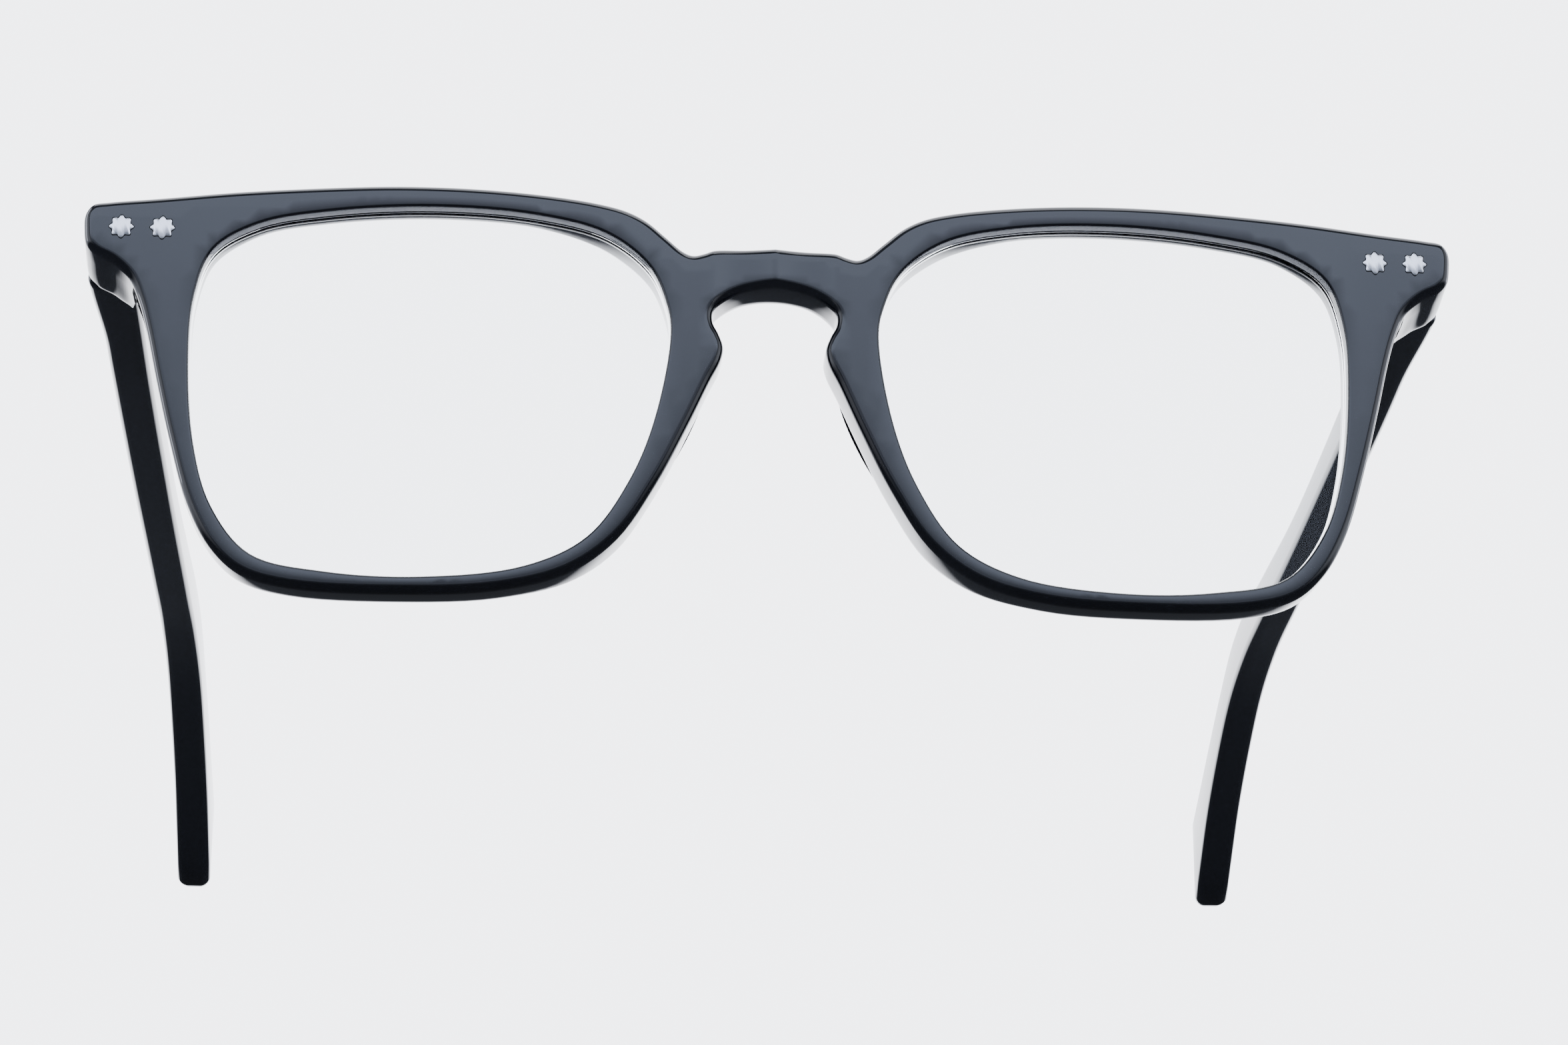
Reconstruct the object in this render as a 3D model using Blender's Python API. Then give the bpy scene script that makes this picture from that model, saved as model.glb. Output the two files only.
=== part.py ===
"""Black acetate eyeglasses with a keyhole bridge, riveted hinges and two folding temples.

Lengths are in millimetres until a point is placed, and metres after that.  +Z is up, the front
faces -Y, the temples run back toward +Y, and +X is the wearer's left.  The glasses stand open on
the lower edge of both rims and on the two temple tips, centred on the origin.
"""
import math

import bmesh
import bpy
from mathutils import Matrix, Vector
from mathutils.geometry import delaunay_2d_cdt

MM = 0.001

# Driving dimensions
LENS_WIDTH = 49.0
LENS_HEIGHT = 39.8
BRIDGE_WIDTH = 20.0
TEMPLE_LENGTH = 145.0
RIM_DEPTH = 4.1
BRIDGE_DEPTH = 6.4
FACE_SETBACK = 2.3
SCOOP_DEPTH = 0.45
FRONT_EDGE_RADIUS = 0.9
BACK_EDGE_RADIUS = 0.7
OPENING_EDGE_RADIUS = 0.3
GROOVE_DEPTH = 0.6
LENS_THICKNESS = 1.1
LENS_CLEARANCE = 0.12
TEMPLE_THICKNESS = 4.2
TEMPLE_TILT = math.radians(4.71)
MITRE_GAP = 0.15
KNUCKLE_RADIUS = 1.3
LEAF_THICKNESS = 1.0
SCREW_RADIUS = 0.45
RIVET_HEAD_RADIUS = 1.12
RIVET_SHANK_RADIUS = 0.55
PAD_HEIGHT = 4.1

# Sizes the control points below were drawn for
DRAWN_LENS_WIDTH = 49.0
DRAWN_LENS_HEIGHT = 39.8
DRAWN_BRIDGE_WIDTH = 20.0
DRAWN_TEMPLE_LENGTH = 145.0
DRAWN_TEMPLE_REACH = 131.5

# Half outline of the front, from the top of the bridge round to the crown of the keyhole
BROW = [(0, 9.6), (3, 9.5), (6, 9.3), (7.3, 8.85), (8.3, 8.65), (9.3, 9.05), (11, 10.5), (13, 12.2)]
TOP = [(15, 13.25), (18, 14.05), (23, 14.8), (30, 15.4), (38, 15.6), (47, 15.3), (56, 14.75), (63, 14.0)]
ENDPIECE = [(67.0, 13.55), (68.7, 13.2), (69.4, 12.2), (69.45, 10.6), (69.15, 8.95), (68.2, 7.95)]
SIDE = [(66.4, 7.0), (64.7, 5.4), (63.6, 3.0), (62.7, 0), (61.5, -5.1), (59.9, -11.4), (57.8, -18.2)]
FOOT = [(55.4, -22.6), (52.3, -25.4), (47.5, -26.8), (37, -27.35), (27, -26.85), (20.2, -25.0)]
NOSE = [(15.4, -21.4), (11.6, -15.6), (8.6, -9.5), (6.5, -4.8), (5.4, -2.5), (5.15, -1.1)]
KEYHOLE = [(5.6, 0.3), (6.2, 1.5), (6.2, 2.6), (5.3, 3.7), (3.6, 4.75), (1.8, 5.25), (0, 5.4)]
HALF_OUTLINE = BROW + TOP + ENDPIECE + SIDE + FOOT + NOSE + KEYHOLE

# Lens opening of the +X side
OPENING_TOP = [(10.45, 0.4), (11.0, 3.6), (12.7, 7.2), (17.0, 10.6), (24, 12.45), (34.4, 13.2)]
OPENING_OUT = [(45, 12.6), (52.0, 11.25), (56.4, 8.5), (58.1, 3.6), (58.35, -3.0), (57.4, -12.1)]
OPENING_LOW = [(55.3, -18.6), (51.3, -23.4), (44.0, -25.15), (34.4, -25.6), (24.4, -24.35)]
OPENING_NOSE = [(18.4, -21.3), (14.4, -15.5), (11.9, -8.8)]
OPENING = OPENING_TOP + OPENING_OUT + OPENING_LOW + OPENING_NOSE

# Upper and lower edge of a temple against the distance behind the hinge
TEMPLE_TOP = [(0, 2.9), (7, 2.2), (20, 1.0), (39, -0.3), (56, -1.0), (75, -0.6), (88, -0.3),
              (98.7, -1.6), (107.5, -4.5), (117, -8.2), (125, -11.5), (131.5, -14.1)]
TEMPLE_LOW = [(0, -2.65), (7, -3.2), (20, -4.3), (50, -5.7), (75, -6.3), (90, -6.9),
              (101, -8.9), (111, -12.9), (120, -17.7), (126, -22.0), (131.5, -26.2)]
TIP_REACH = 1.1
TIP_SLANT = 2.5
TIP_RADIUS = 1.5

# Hinge placement, measured on the front
HINGE_X = 62.9
HINGE_HEIGHT = 9.6
HINGE_DEPTH = 10.4
ENDPIECE_INNER_X = 64.65
POCKET_OUTER_X = 67.3
LEAF_SEAT_DEPTH = 7.1
MITRE_DEPTH = 10.1
ENDPIECE_DROP = 0.15
ENDPIECE_FLARE = 0.05
RIVET_X = (61.6, 65.7)
RIVET_HEIGHT = 10.7
CAP_SPLIT = 2.9
ORIGIN_DEPTH = 71.37


def clear_scene():
    for item in list(bpy.data.objects):
        bpy.data.objects.remove(item, do_unlink=True)


def material(name, colour, metallic=0.0, roughness=0.2, transmission=0.0):
    made = bpy.data.materials.new(name)
    made.use_nodes = True
    shader = made.node_tree.nodes["Principled BSDF"]
    shader.inputs["Base Color"].default_value = (*colour, 1.0)
    shader.inputs["Metallic"].default_value = metallic
    shader.inputs["Roughness"].default_value = roughness
    shader.inputs["Transmission Weight"].default_value = transmission
    return made


def smoothstep(low, high, value):
    t = min(1.0, max(0.0, (value - low) / (high - low)))
    return t * t * (3.0 - 2.0 * t)


def fit(x, height):
    """Stretch a drawn point to the chosen lens and bridge sizes."""
    inner = DRAWN_BRIDGE_WIDTH / 2.0
    outer = inner + DRAWN_LENS_WIDTH
    u = abs(x)
    wide = min(u, inner) * BRIDGE_WIDTH / DRAWN_BRIDGE_WIDTH
    wide += max(0.0, min(u, outer) - inner) * LENS_WIDTH / DRAWN_LENS_WIDTH
    wide += max(0.0, u - outer)
    return math.copysign(wide, x), height_of(height)


def height_of(height):
    """Stretch below the hinge line only, so the endpieces keep their height."""
    if height > 0.0:
        return height
    return height * (LENS_HEIGHT - 14.0) / (DRAWN_LENS_HEIGHT - 14.0)


SHIFT_X = fit(70.0, 0.0)[0] - 70.0
FLOOR_HEIGHT = -height_of(-27.35)


def catmull(p0, p1, p2, p3, t):
    """Centripetal Catmull-Rom point between p1 and p2."""
    knots = [0.0]
    for a, b in ((p0, p1), (p1, p2), (p2, p3)):
        knots.append(knots[-1] + max(1e-6, (b - a).length) ** 0.5)
    k0, k1, k2, k3 = knots
    s = k1 + t * (k2 - k1)
    a1 = p0 * ((k1 - s) / (k1 - k0)) + p1 * ((s - k0) / (k1 - k0))
    a2 = p1 * ((k2 - s) / (k2 - k1)) + p2 * ((s - k1) / (k2 - k1))
    a3 = p2 * ((k3 - s) / (k3 - k2)) + p3 * ((s - k2) / (k3 - k2))
    b1 = a1 * ((k2 - s) / (k2 - k0)) + a2 * ((s - k0) / (k2 - k0))
    b2 = a2 * ((k3 - s) / (k3 - k1)) + a3 * ((s - k1) / (k3 - k1))
    return b1 * ((k2 - s) / (k2 - k1)) + b2 * ((s - k1) / (k2 - k1))


def closed_spline(points, steps):
    nodes = [Vector(p) for p in points]
    count = len(nodes)
    curve = []
    for i in range(count):
        around = [nodes[(i + k) % count] for k in (-1, 0, 1, 2)]
        for step in range(steps):
            curve.append(catmull(*around, step / steps))
    return curve


def split_at(points, value):
    """Add a point wherever the closed outline crosses |x| = value."""
    result = []
    for i, p in enumerate(points):
        q = points[(i + 1) % len(points)]
        result.append(p)
        a = abs(p.x) - value
        b = abs(q.x) - value
        if a * b < 0.0 and abs(a) > 0.05 and abs(b) > 0.05:
            result.append(p.lerp(q, a / (a - b)))
    return result


def normals_of(points):
    """Unit normals to the left of travel, eased over the neighbouring points."""
    count = len(points)
    raw = []
    for i in range(count):
        d = points[(i + 1) % count] - points[i - 1]
        raw.append(Vector((-d.y, d.x)).normalized())
    return [(raw[i - 1] + raw[i] * 2.0 + raw[(i + 1) % count]).normalized() for i in range(count)]


def inside(point, loop):
    hit = False
    for i, a in enumerate(loop):
        b = loop[i - 1]
        if (a.y > point.y) != (b.y > point.y):
            if point.x < (b.x - a.x) * (point.y - a.y) / (b.y - a.y) + a.x:
                hit = not hit
    return hit


def face_depth(x):
    """Depth of the gently bowed front face; the endpieces are flat."""
    u = abs(x) - SHIFT_X
    if u <= 56.0:
        return FACE_SETBACK * (u / 56.0) ** 2 if u > 0.0 else 0.0
    t = min(6.0, u - 56.0)
    return FACE_SETBACK + FACE_SETBACK * 2.0 / 56.0 * (t - t * t / 12.0)


def back_depth(x):
    """Depth of the back face: deep bridge, slim rims, flat hinge seat, mitre face."""
    u = abs(x) - SHIFT_X
    rim = face_depth(x) + RIM_DEPTH
    depth = BRIDGE_DEPTH + (rim - BRIDGE_DEPTH) * smoothstep(14.0, 26.0, u)
    depth += (LEAF_SEAT_DEPTH - depth) * smoothstep(51.0, 58.0, u)
    step = min(1.0, max(0.0, (u - ENDPIECE_INNER_X + 0.5) / 0.5))
    return depth + (MITRE_DEPTH - LEAF_SEAT_DEPTH) * step


def scoop(x, height):
    """Two shallow hollows either side of the ridge down the middle of the bridge."""
    half = 6.3 * BRIDGE_WIDTH / DRAWN_BRIDGE_WIDTH
    t = abs(x) / half
    if t >= 1.0:
        return 0.0
    return SCOOP_DEPTH * 4.0 * t * (1.0 - t) * smoothstep(0.5, 3.0, height)


def place(x, height, depth):
    """Map a point of the flat drawing, at a nominal depth, onto the front."""
    face = face_depth(x)
    if depth <= CAP_SPLIT:
        y = face + depth + scoop(x, height) * (1.0 - depth / CAP_SPLIT)
    else:
        share = (depth - CAP_SPLIT) / (RIM_DEPTH - CAP_SPLIT)
        y = face + CAP_SPLIT + share * (back_depth(x) - face - CAP_SPLIT)
    weight = smoothstep(62.0, 66.0, abs(x) - SHIFT_X) * max(0.0, y - 3.0)
    x += math.copysign(ENDPIECE_FLARE * weight, x)
    return world(x, y, height - ENDPIECE_DROP * weight)


def world(x, y, height):
    return Vector((x, y - ORIGIN_DEPTH, height + FLOOR_HEIGHT)) * MM


def rounding(radius, steps):
    """Inset and depth of each step of a quarter-round edge."""
    pairs = []
    for i in range(steps):
        a = math.pi / 2.0 * i / steps
        pairs.append((radius * (1.0 - math.sin(a)), radius * (1.0 - math.cos(a))))
    return pairs


def ring(bm, points, normals, inset, depth, placer):
    return [bm.verts.new(placer(p.x + n.x * inset, p.y + n.y * inset, depth))
            for p, n in zip(points, normals)]


def bridge_rings(bm, rings, flip):
    for lower, upper in zip(rings, rings[1:]):
        for i in range(len(lower)):
            j = (i + 1) % len(lower)
            quad = (lower[i], lower[j], upper[j], upper[i])
            bm.faces.new(quad[::-1] if flip else quad)


def grid_points(loops, step, extra):
    """Interior points of a sheet bounded by the first loop and pierced by the others."""
    edge = [p for loop in loops for p in loop]
    reach = max(abs(p.x) for p in loops[0])
    rows = []
    count = int(reach / step) + 1
    for i in range(-count, count + 1):
        for j in range(-count, count + 1):
            rows.append((Vector((i * step, j * step)), 0.32 * step))
    rows += [(Vector(p), 0.35) for p in extra]
    kept = []
    for p, margin in rows:
        if not inside(p, loops[0]) or any(inside(p, hole) for hole in loops[1:]):
            continue
        if min((p - q).length for q in edge) < margin:
            continue
        if margin > 0.4 and any((p - Vector(q)).length < 1.2 for q in extra):
            continue
        kept.append(p)
    return kept


def cap(bm, loops, ring_sets, depth, placer, step, extra, flip):
    """Close a sheet between its outline and its holes with an even triangle mesh."""
    flat = []
    verts = []
    edges = []
    for loop, ring_verts in zip(loops, ring_sets):
        start = len(flat)
        flat += loop
        verts += ring_verts
        edges += [(start + i, start + (i + 1) % len(loop)) for i in range(len(loop))]
    for p in grid_points(loops, step, extra):
        flat.append(p)
        verts.append(bm.verts.new(placer(p.x, p.y, depth)))
    points, _, faces, origin, _, _ = delaunay_2d_cdt(flat, edges, [], 0, 1e-7)
    for face in faces:
        centre = (points[face[0]] + points[face[1]] + points[face[2]]) / 3.0
        if not inside(centre, loops[0]) or any(inside(centre, hole) for hole in loops[1:]):
            continue
        corners = [verts[origin[i][0]] for i in face]
        bm.faces.new(corners[::-1] if flip else corners)


def finish(bm, name, look, matrix=None, angle=35.0):
    bmesh.ops.remove_doubles(bm, verts=bm.verts, dist=1e-7)
    bmesh.ops.recalc_face_normals(bm, faces=bm.faces)
    mesh = bpy.data.meshes.new(name)
    bm.to_mesh(mesh)
    bm.free()
    mesh.shade_smooth()
    mesh.set_sharp_from_angle(angle=math.radians(angle))
    mesh.materials.append(look)
    made = bpy.data.objects.new(name, mesh)
    bpy.context.collection.objects.link(made)
    if matrix is not None:
        made.matrix_world = matrix
    return made


def combine(target, tool, operation):
    """Apply one exact Boolean and remove the tool."""
    change = target.modifiers.new("join", "BOOLEAN")
    change.operation = operation
    change.solver = "EXACT"
    change.object = tool
    bpy.context.view_layer.update()
    graph = bpy.context.evaluated_depsgraph_get()
    mesh = bpy.data.meshes.new_from_object(target.evaluated_get(graph))
    target.modifiers.clear()
    target.data = mesh
    bpy.data.objects.remove(tool, do_unlink=True)
    return target


def close_gaps(made):
    """Fill any small wall that a Boolean dropped."""
    bm = bmesh.new()
    bm.from_mesh(made.data)
    open_edges = [edge for edge in bm.edges if edge.is_boundary]
    if open_edges:
        bmesh.ops.holes_fill(bm, edges=open_edges, sides=8)
        bmesh.ops.recalc_face_normals(bm, faces=bm.faces)
        bm.to_mesh(made.data)
    bm.free()
    return made


def resharpen(made, angle=35.0):
    made.data.shade_smooth()
    made.data.set_sharp_from_angle(angle=math.radians(angle))
    return made


def outline_loops():
    half = [fit(*p) for p in HALF_OUTLINE]
    mirrored = [(-x, h) for x, h in half[1:-1]][::-1]
    outer = closed_spline(half + mirrored, 3)
    outer = split_at(split_at(outer, ENDPIECE_INNER_X + SHIFT_X), ENDPIECE_INNER_X - 0.5 + SHIFT_X)
    left = opening_loop(1)
    right = opening_loop(-1)
    return outer, left, right


def opening_loop(side):
    points = [fit(x, h) for x, h in OPENING]
    if side < 0:
        points = [(-x, h) for x, h in points][::-1]
    return closed_spline(points, 4)


def inset_loop(points, normals, inset):
    return [p + n * inset for p, n in zip(points, normals)]


def bridge_grid():
    step = 6.3 * BRIDGE_WIDTH / DRAWN_BRIDGE_WIDTH / 7.0
    return [(i * step, 3.6 + 1.0 * j) for i in range(-7, 8) for j in range(6)]


def seat_grid():
    lines = (ENDPIECE_INNER_X - 0.5 + SHIFT_X, ENDPIECE_INNER_X + SHIFT_X)
    return [(side * x, 5.5 + 1.5 * j) for side in (-1, 1) for x in lines for j in range(6)]


def front_frame(look):
    bm = bmesh.new()
    outer, left, right = outline_loops()
    inward = [-n for n in normals_of(outer)]
    if not inside(outer[0] + inward[0] * 0.1, outer):
        inward = [-n for n in inward]
    front = rounding(FRONT_EDGE_RADIUS, 4) + [(0.0, FRONT_EDGE_RADIUS)]
    back = [(i, RIM_DEPTH - d) for i, d in rounding(BACK_EDGE_RADIUS, 3)][::-1]
    rings = [ring(bm, outer, inward, i, d, place) for i, d in front + [(0.0, CAP_SPLIT)]]
    soft = [1.0 if abs(p.x) - SHIFT_X < ENDPIECE_INNER_X - 0.6 else 0.18 for p in outer]
    for inset, depth in [(0.0, RIM_DEPTH - BACK_EDGE_RADIUS)] + back:
        eased = [n * s for n, s in zip(inward, soft)]
        rings.append(ring(bm, outer, eased, inset, depth, place))
    bridge_rings(bm, rings, False)
    front_loops = [inset_loop(outer, inward, FRONT_EDGE_RADIUS)]
    eased = [n * s for n, s in zip(inward, soft)]
    back_loops = [inset_loop(outer, eased, BACK_EDGE_RADIUS)]
    front_sets = [rings[0]]
    back_sets = [rings[-1]]
    for hole in (left, right):
        grow = outward_normals(hole)
        profile = opening_profile()
        walls = [ring(bm, hole, grow, i, d, place) for i, d in profile]
        bridge_rings(bm, walls, True)
        front_loops.append(inset_loop(hole, grow, profile[0][0]))
        back_loops.append(inset_loop(hole, grow, profile[-1][0]))
        front_sets.append(walls[0])
        back_sets.append(walls[-1])
    cap(bm, front_loops, front_sets, 0.0, place, 2.6, bridge_grid(), False)
    cap(bm, back_loops, back_sets, RIM_DEPTH, place, 2.6, seat_grid(), True)
    made = finish(bm, "front_frame", look)
    for side in (1, -1):
        combine(made, pocket_cutter(side), "DIFFERENCE")
        for number, x in enumerate(RIVET_X):
            combine(made, rivet_cutter(side, x), "DIFFERENCE")
    return resharpen(close_gaps(made))


def outward_normals(hole):
    grow = normals_of(hole)
    if inside(hole[0] + grow[0] * 0.1, hole):
        grow = [-n for n in grow]
    return grow


def opening_profile():
    """Inset and depth down the wall of a lens opening, with the groove that holds the lens."""
    r = OPENING_EDGE_RADIUS
    edge = [(r, 0.0), (r * 0.29, r * 0.29), (0.0, r)]
    groove = [(0.0, 1.35), (GROOVE_DEPTH, 2.0), (0.0, 2.65)]
    back = [(0.0, RIM_DEPTH - r), (r * 0.29, RIM_DEPTH - r * 0.29), (r, RIM_DEPTH)]
    return edge + groove + back


def lens(side, look):
    bm = bmesh.new()
    hole = opening_loop(side)
    grow = outward_normals(hole)
    half = LENS_THICKNESS / 2.0
    profile = [(-LENS_CLEARANCE, 2.0 - half), (GROOVE_DEPTH - 0.15, 2.0), (-LENS_CLEARANCE, 2.0 + half)]
    rings = [ring(bm, hole, grow, i, d, lens_point) for i, d in profile]
    bridge_rings(bm, rings, False)
    loop = inset_loop(hole, grow, -LENS_CLEARANCE)
    cap(bm, [loop], [rings[0]], profile[0][1], lens_point, 5.0, [], False)
    cap(bm, [loop], [rings[-1]], profile[-1][1], lens_point, 5.0, [], True)
    return finish(bm, side_name(side, "lens"), look)


def lens_point(x, height, depth):
    return world(x, face_depth(x) + depth, height)


def side_name(side, name):
    return ("left_" if side > 0 else "right_") + name


def prism(bm, outline, low, high, axis):
    """Extrude a closed 2-D outline along X, Y or Z between two levels."""
    order = {"X": lambda a, b, c: (c, a, b), "Y": lambda a, b, c: (a, c, b), "Z": lambda a, b, c: (a, b, c)}
    rings = []
    for level in (low, high):
        rings.append([bm.verts.new(Vector(order[axis](a, b, level)) * MM) for a, b in outline])
    bridge_rings(bm, rings, False)
    bm.faces.new(rings[0][::-1])
    bm.faces.new(rings[1])


def circle(x, y, radius, count=24):
    return [(x + radius * math.cos(math.tau * i / count), y + radius * math.sin(math.tau * i / count))
            for i in range(count)]


def rectangle(x0, x1, y0, y1):
    return [(x0, y0), (x1, y0), (x1, y1), (x0, y1)]


def solid(outline, low, high, axis, name="tool", look=None, matrix=None):
    bm = bmesh.new()
    prism(bm, outline, low, high, axis)
    bmesh.ops.recalc_face_normals(bm, faces=bm.faces)
    return finish(bm, name, look or bpy.data.materials["nickel_silver"], matrix, 30.0)


def hinge_matrix(side):
    spot = world(side * (HINGE_X + SHIFT_X), HINGE_DEPTH, HINGE_HEIGHT)
    return Matrix.Translation(spot) @ Matrix.Rotation(-TEMPLE_TILT, 4, "X")


def flower(radius, lobes=8, depth=0.13, count=48):
    points = []
    for i in range(count):
        a = math.tau * i / count
        r = radius + depth * math.cos(lobes * a)
        points.append((r * math.cos(a), r * math.sin(a)))
    return points


def rivet_matrix(side, x):
    spot = world(side * (x + SHIFT_X), 0.0, RIVET_HEIGHT)
    return Matrix.Translation(spot)


def rivet_cutter(side, x):
    face = face_depth(x + SHIFT_X)
    head = flower(RIVET_HEAD_RADIUS + 0.08)
    hole = circle(0.0, 0.0, RIVET_SHANK_RADIUS + 0.2, 48)
    end = LEAF_SEAT_DEPTH + LEAF_THICKNESS
    levels = [(head, face - 1.0), (head, face + 0.5), (hole, face + 0.5), (hole, end)]
    bm = bmesh.new()
    rings = [[bm.verts.new(Vector((a, y, b)) * MM) for a, b in loop] for loop, y in levels]
    bridge_rings(bm, rings, False)
    bm.faces.new(rings[0][::-1])
    bm.faces.new(rings[-1])
    return finish(bm, "tool", bpy.data.materials["nickel_silver"], rivet_matrix(side, x))


def front_rivet(side, x, name, look):
    face = face_depth(x + SHIFT_X)
    bm = bmesh.new()
    outline = flower(RIVET_HEAD_RADIUS)
    inner = flower(RIVET_HEAD_RADIUS - 0.1)
    shank = [Vector(p) for p in circle(0.0, 0.0, RIVET_SHANK_RADIUS, 48)]
    levels = [(inner, face - 0.05), (outline, face + 0.04), (outline, face + 0.4)]
    levels += [(shank, face + 0.4), (shank, LEAF_SEAT_DEPTH + 0.05 + LEAF_THICKNESS)]
    rings = [[bm.verts.new(Vector((a, y, b)) * MM) for a, b in loop] for loop, y in levels]
    bridge_rings(bm, rings, False)
    bm.faces.new(rings[0][::-1])
    bm.faces.new(rings[-1])
    return finish(bm, side_name(side, name), look, rivet_matrix(side, x))


def pocket_cutter(side):
    """Slot in the endpiece that takes the outer end of the front leaf."""
    low, high = sorted((side * (ENDPIECE_INNER_X - 0.6 + SHIFT_X), side * (POCKET_OUTER_X + SHIFT_X)))
    seat = LEAF_SEAT_DEPTH - ORIGIN_DEPTH
    outline = rectangle(low, high, seat - 0.05, seat + LEAF_THICKNESS + 0.6)
    bottom = HINGE_HEIGHT + FLOOR_HEIGHT - 2.15
    top = HINGE_HEIGHT + FLOOR_HEIGHT + 2.35
    return solid(outline, bottom, top, "Z")


def mirrored(outline, side):
    return [(side * a, b) for a, b in outline]


def leaf_plate_depths():
    low = LEAF_SEAT_DEPTH - HINGE_DEPTH + 0.32
    return low, low + LEAF_THICKNESS


def front_leaf(side, look):
    """Base plate on the back of the endpiece with two knuckles."""
    matrix = hinge_matrix(side)
    low, high = leaf_plate_depths()
    plate = solid(chamfered(-3.9, 4.1, -1.85, 2.0, 0.5), low, high, "Y", "tool", look, matrix)
    if side < 0:
        plate = flip_x(plate)
    made = plate
    for centre in (-1.5, 1.5):
        knuckle = solid(circle(0.0, 0.0, KNUCKLE_RADIUS), centre - 0.7, centre + 0.7, "Z", matrix=matrix)
        neck = rectangle(-1.0, 0.6, low + 0.4, -0.5)
        web = solid(mirrored(neck, side), centre - 0.7, centre + 0.7, "Z", matrix=matrix)
        combine(made, knuckle, "UNION")
        combine(made, web, "UNION")
    bore = solid(circle(0.0, 0.0, SCREW_RADIUS + 0.13), -4.0, 4.0, "Z", matrix=matrix)
    combine(made, bore, "DIFFERENCE")
    for x in RIVET_X:
        offset = side * (x - HINGE_X)
        hole = circle(offset, RIVET_HEIGHT - HINGE_HEIGHT, RIVET_SHANK_RADIUS + 0.33)
        combine(made, solid(hole, low - 1.5, high + 0.25, "Y", matrix=matrix), "DIFFERENCE")
    made.name = side_name(side, "front_leaf")
    return resharpen(made)


def chamfered(x0, x1, z0, z1, c):
    return [(x0 + c, z0), (x1 - c, z0), (x1, z0 + c), (x1, z1 - c),
            (x1 - c, z1), (x0 + c, z1), (x0, z1 - c), (x0, z0 + c)]


def flip_x(made):
    mesh = made.data
    mesh.transform(Matrix.Diagonal((-1.0, 1.0, 1.0, 1.0)))
    mesh.flip_normals()
    return made


def plate_outline(grow):
    """Pointed temple plate, drawn as distance behind the hinge against height."""
    half = 1.65 + grow
    return [(0.3 - grow, -half), (6.9 + grow, -half), (8.2 + grow, -0.55 - grow * 0.6),
            (8.2 + grow, 0.55 + grow * 0.6), (6.9 + grow, half), (0.3 - grow, half)]


def temple_inner_x():
    return ENDPIECE_INNER_X + 0.1 - HINGE_X


def temple_leaf(side, look):
    """Pointed plate let into the temple with one knuckle between the front's two."""
    matrix = hinge_matrix(side)
    inner = temple_inner_x() - 0.35
    made = solid(plate_outline(0.0), inner, inner + LEAF_THICKNESS, "X", "tool", look, matrix)
    knuckle = solid(circle(0.0, 0.0, KNUCKLE_RADIUS), -0.7, 0.7, "Z", matrix=matrix)
    web = solid(rectangle(0.5, inner + 0.5, 0.0, 1.7), -0.7, 0.7, "Z", matrix=matrix)
    combine(made, knuckle, "UNION")
    combine(made, web, "UNION")
    bore = solid(circle(0.0, 0.0, SCREW_RADIUS + 0.13), -4.0, 4.0, "Z", matrix=matrix)
    combine(made, bore, "DIFFERENCE")
    for back in TEMPLE_RIVETS:
        sink = solid(circle(back, 0.0, 1.05), inner - 0.5, inner + 0.35, "X", matrix=matrix)
        hole = solid(circle(back, 0.0, 0.65), inner - 1.0, inner + 2.0, "X", matrix=matrix)
        combine(made, sink, "DIFFERENCE")
        combine(made, hole, "DIFFERENCE")
    made.name = side_name(side, "temple_leaf")
    if side < 0:
        flip_x(made)
    return resharpen(made)


TEMPLE_RIVETS = (3.1, 6.1)


def temple_rivet(side, back, name, look):
    """Domed rivet in the countersink of the temple plate."""
    bm = bmesh.new()
    inner = temple_inner_x() - 0.35
    profile = [(0.28, inner - 0.3), (0.55, inner - 0.16), (0.78, inner + 0.05), (0.85, inner + 0.28)]
    profile += [(0.48, inner + 0.28), (0.48, inner + 2.6)]
    rings = [[bm.verts.new(Vector((x, a, b)) * MM) for a, b in circle(back, 0.0, r, 20)] for r, x in profile]
    bridge_rings(bm, rings, False)
    bm.faces.new(rings[0][::-1])
    bm.faces.new(rings[-1])
    made = finish(bm, side_name(side, name), look, hinge_matrix(side))
    return flip_x(made) if side < 0 else made


def hinge_screw(side, look):
    """Slotted screw through the three knuckles."""
    bm = bmesh.new()
    profile = [(SCREW_RADIUS, -2.2), (SCREW_RADIUS, 2.3), (0.95, 2.3), (0.95, 2.6), (0.7, 2.85)]
    rings = [[bm.verts.new(Vector((a, b, z)) * MM) for a, b in circle(0.0, 0.0, r, 20)] for r, z in profile]
    bridge_rings(bm, rings, False)
    bm.faces.new(rings[0][::-1])
    bm.faces.new(rings[-1])
    made = finish(bm, side_name(side, "hinge_screw"), look, hinge_matrix(side))
    slot = solid(rectangle(-1.5, 1.5, -0.13, 0.13), 2.62, 3.5, "Z", matrix=hinge_matrix(side))
    return resharpen(combine(made, slot, "DIFFERENCE"))


def along(points, value):
    """Height of a temple edge at a distance behind the hinge."""
    nodes = [Vector(p) for p in points]
    nodes = [nodes[0] * 2.0 - nodes[1]] + nodes + [nodes[-1] * 2.0 - nodes[-2]]
    for i in range(1, len(nodes) - 2):
        if value <= nodes[i + 1].x or i == len(nodes) - 3:
            low, high = 0.0, 1.0
            for _ in range(24):
                mid = (low + high) / 2.0
                if catmull(*nodes[i - 1:i + 3], mid).x < value:
                    low = mid
                else:
                    high = mid
            return catmull(*nodes[i - 1:i + 3], low).y
    return nodes[-2].y


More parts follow.
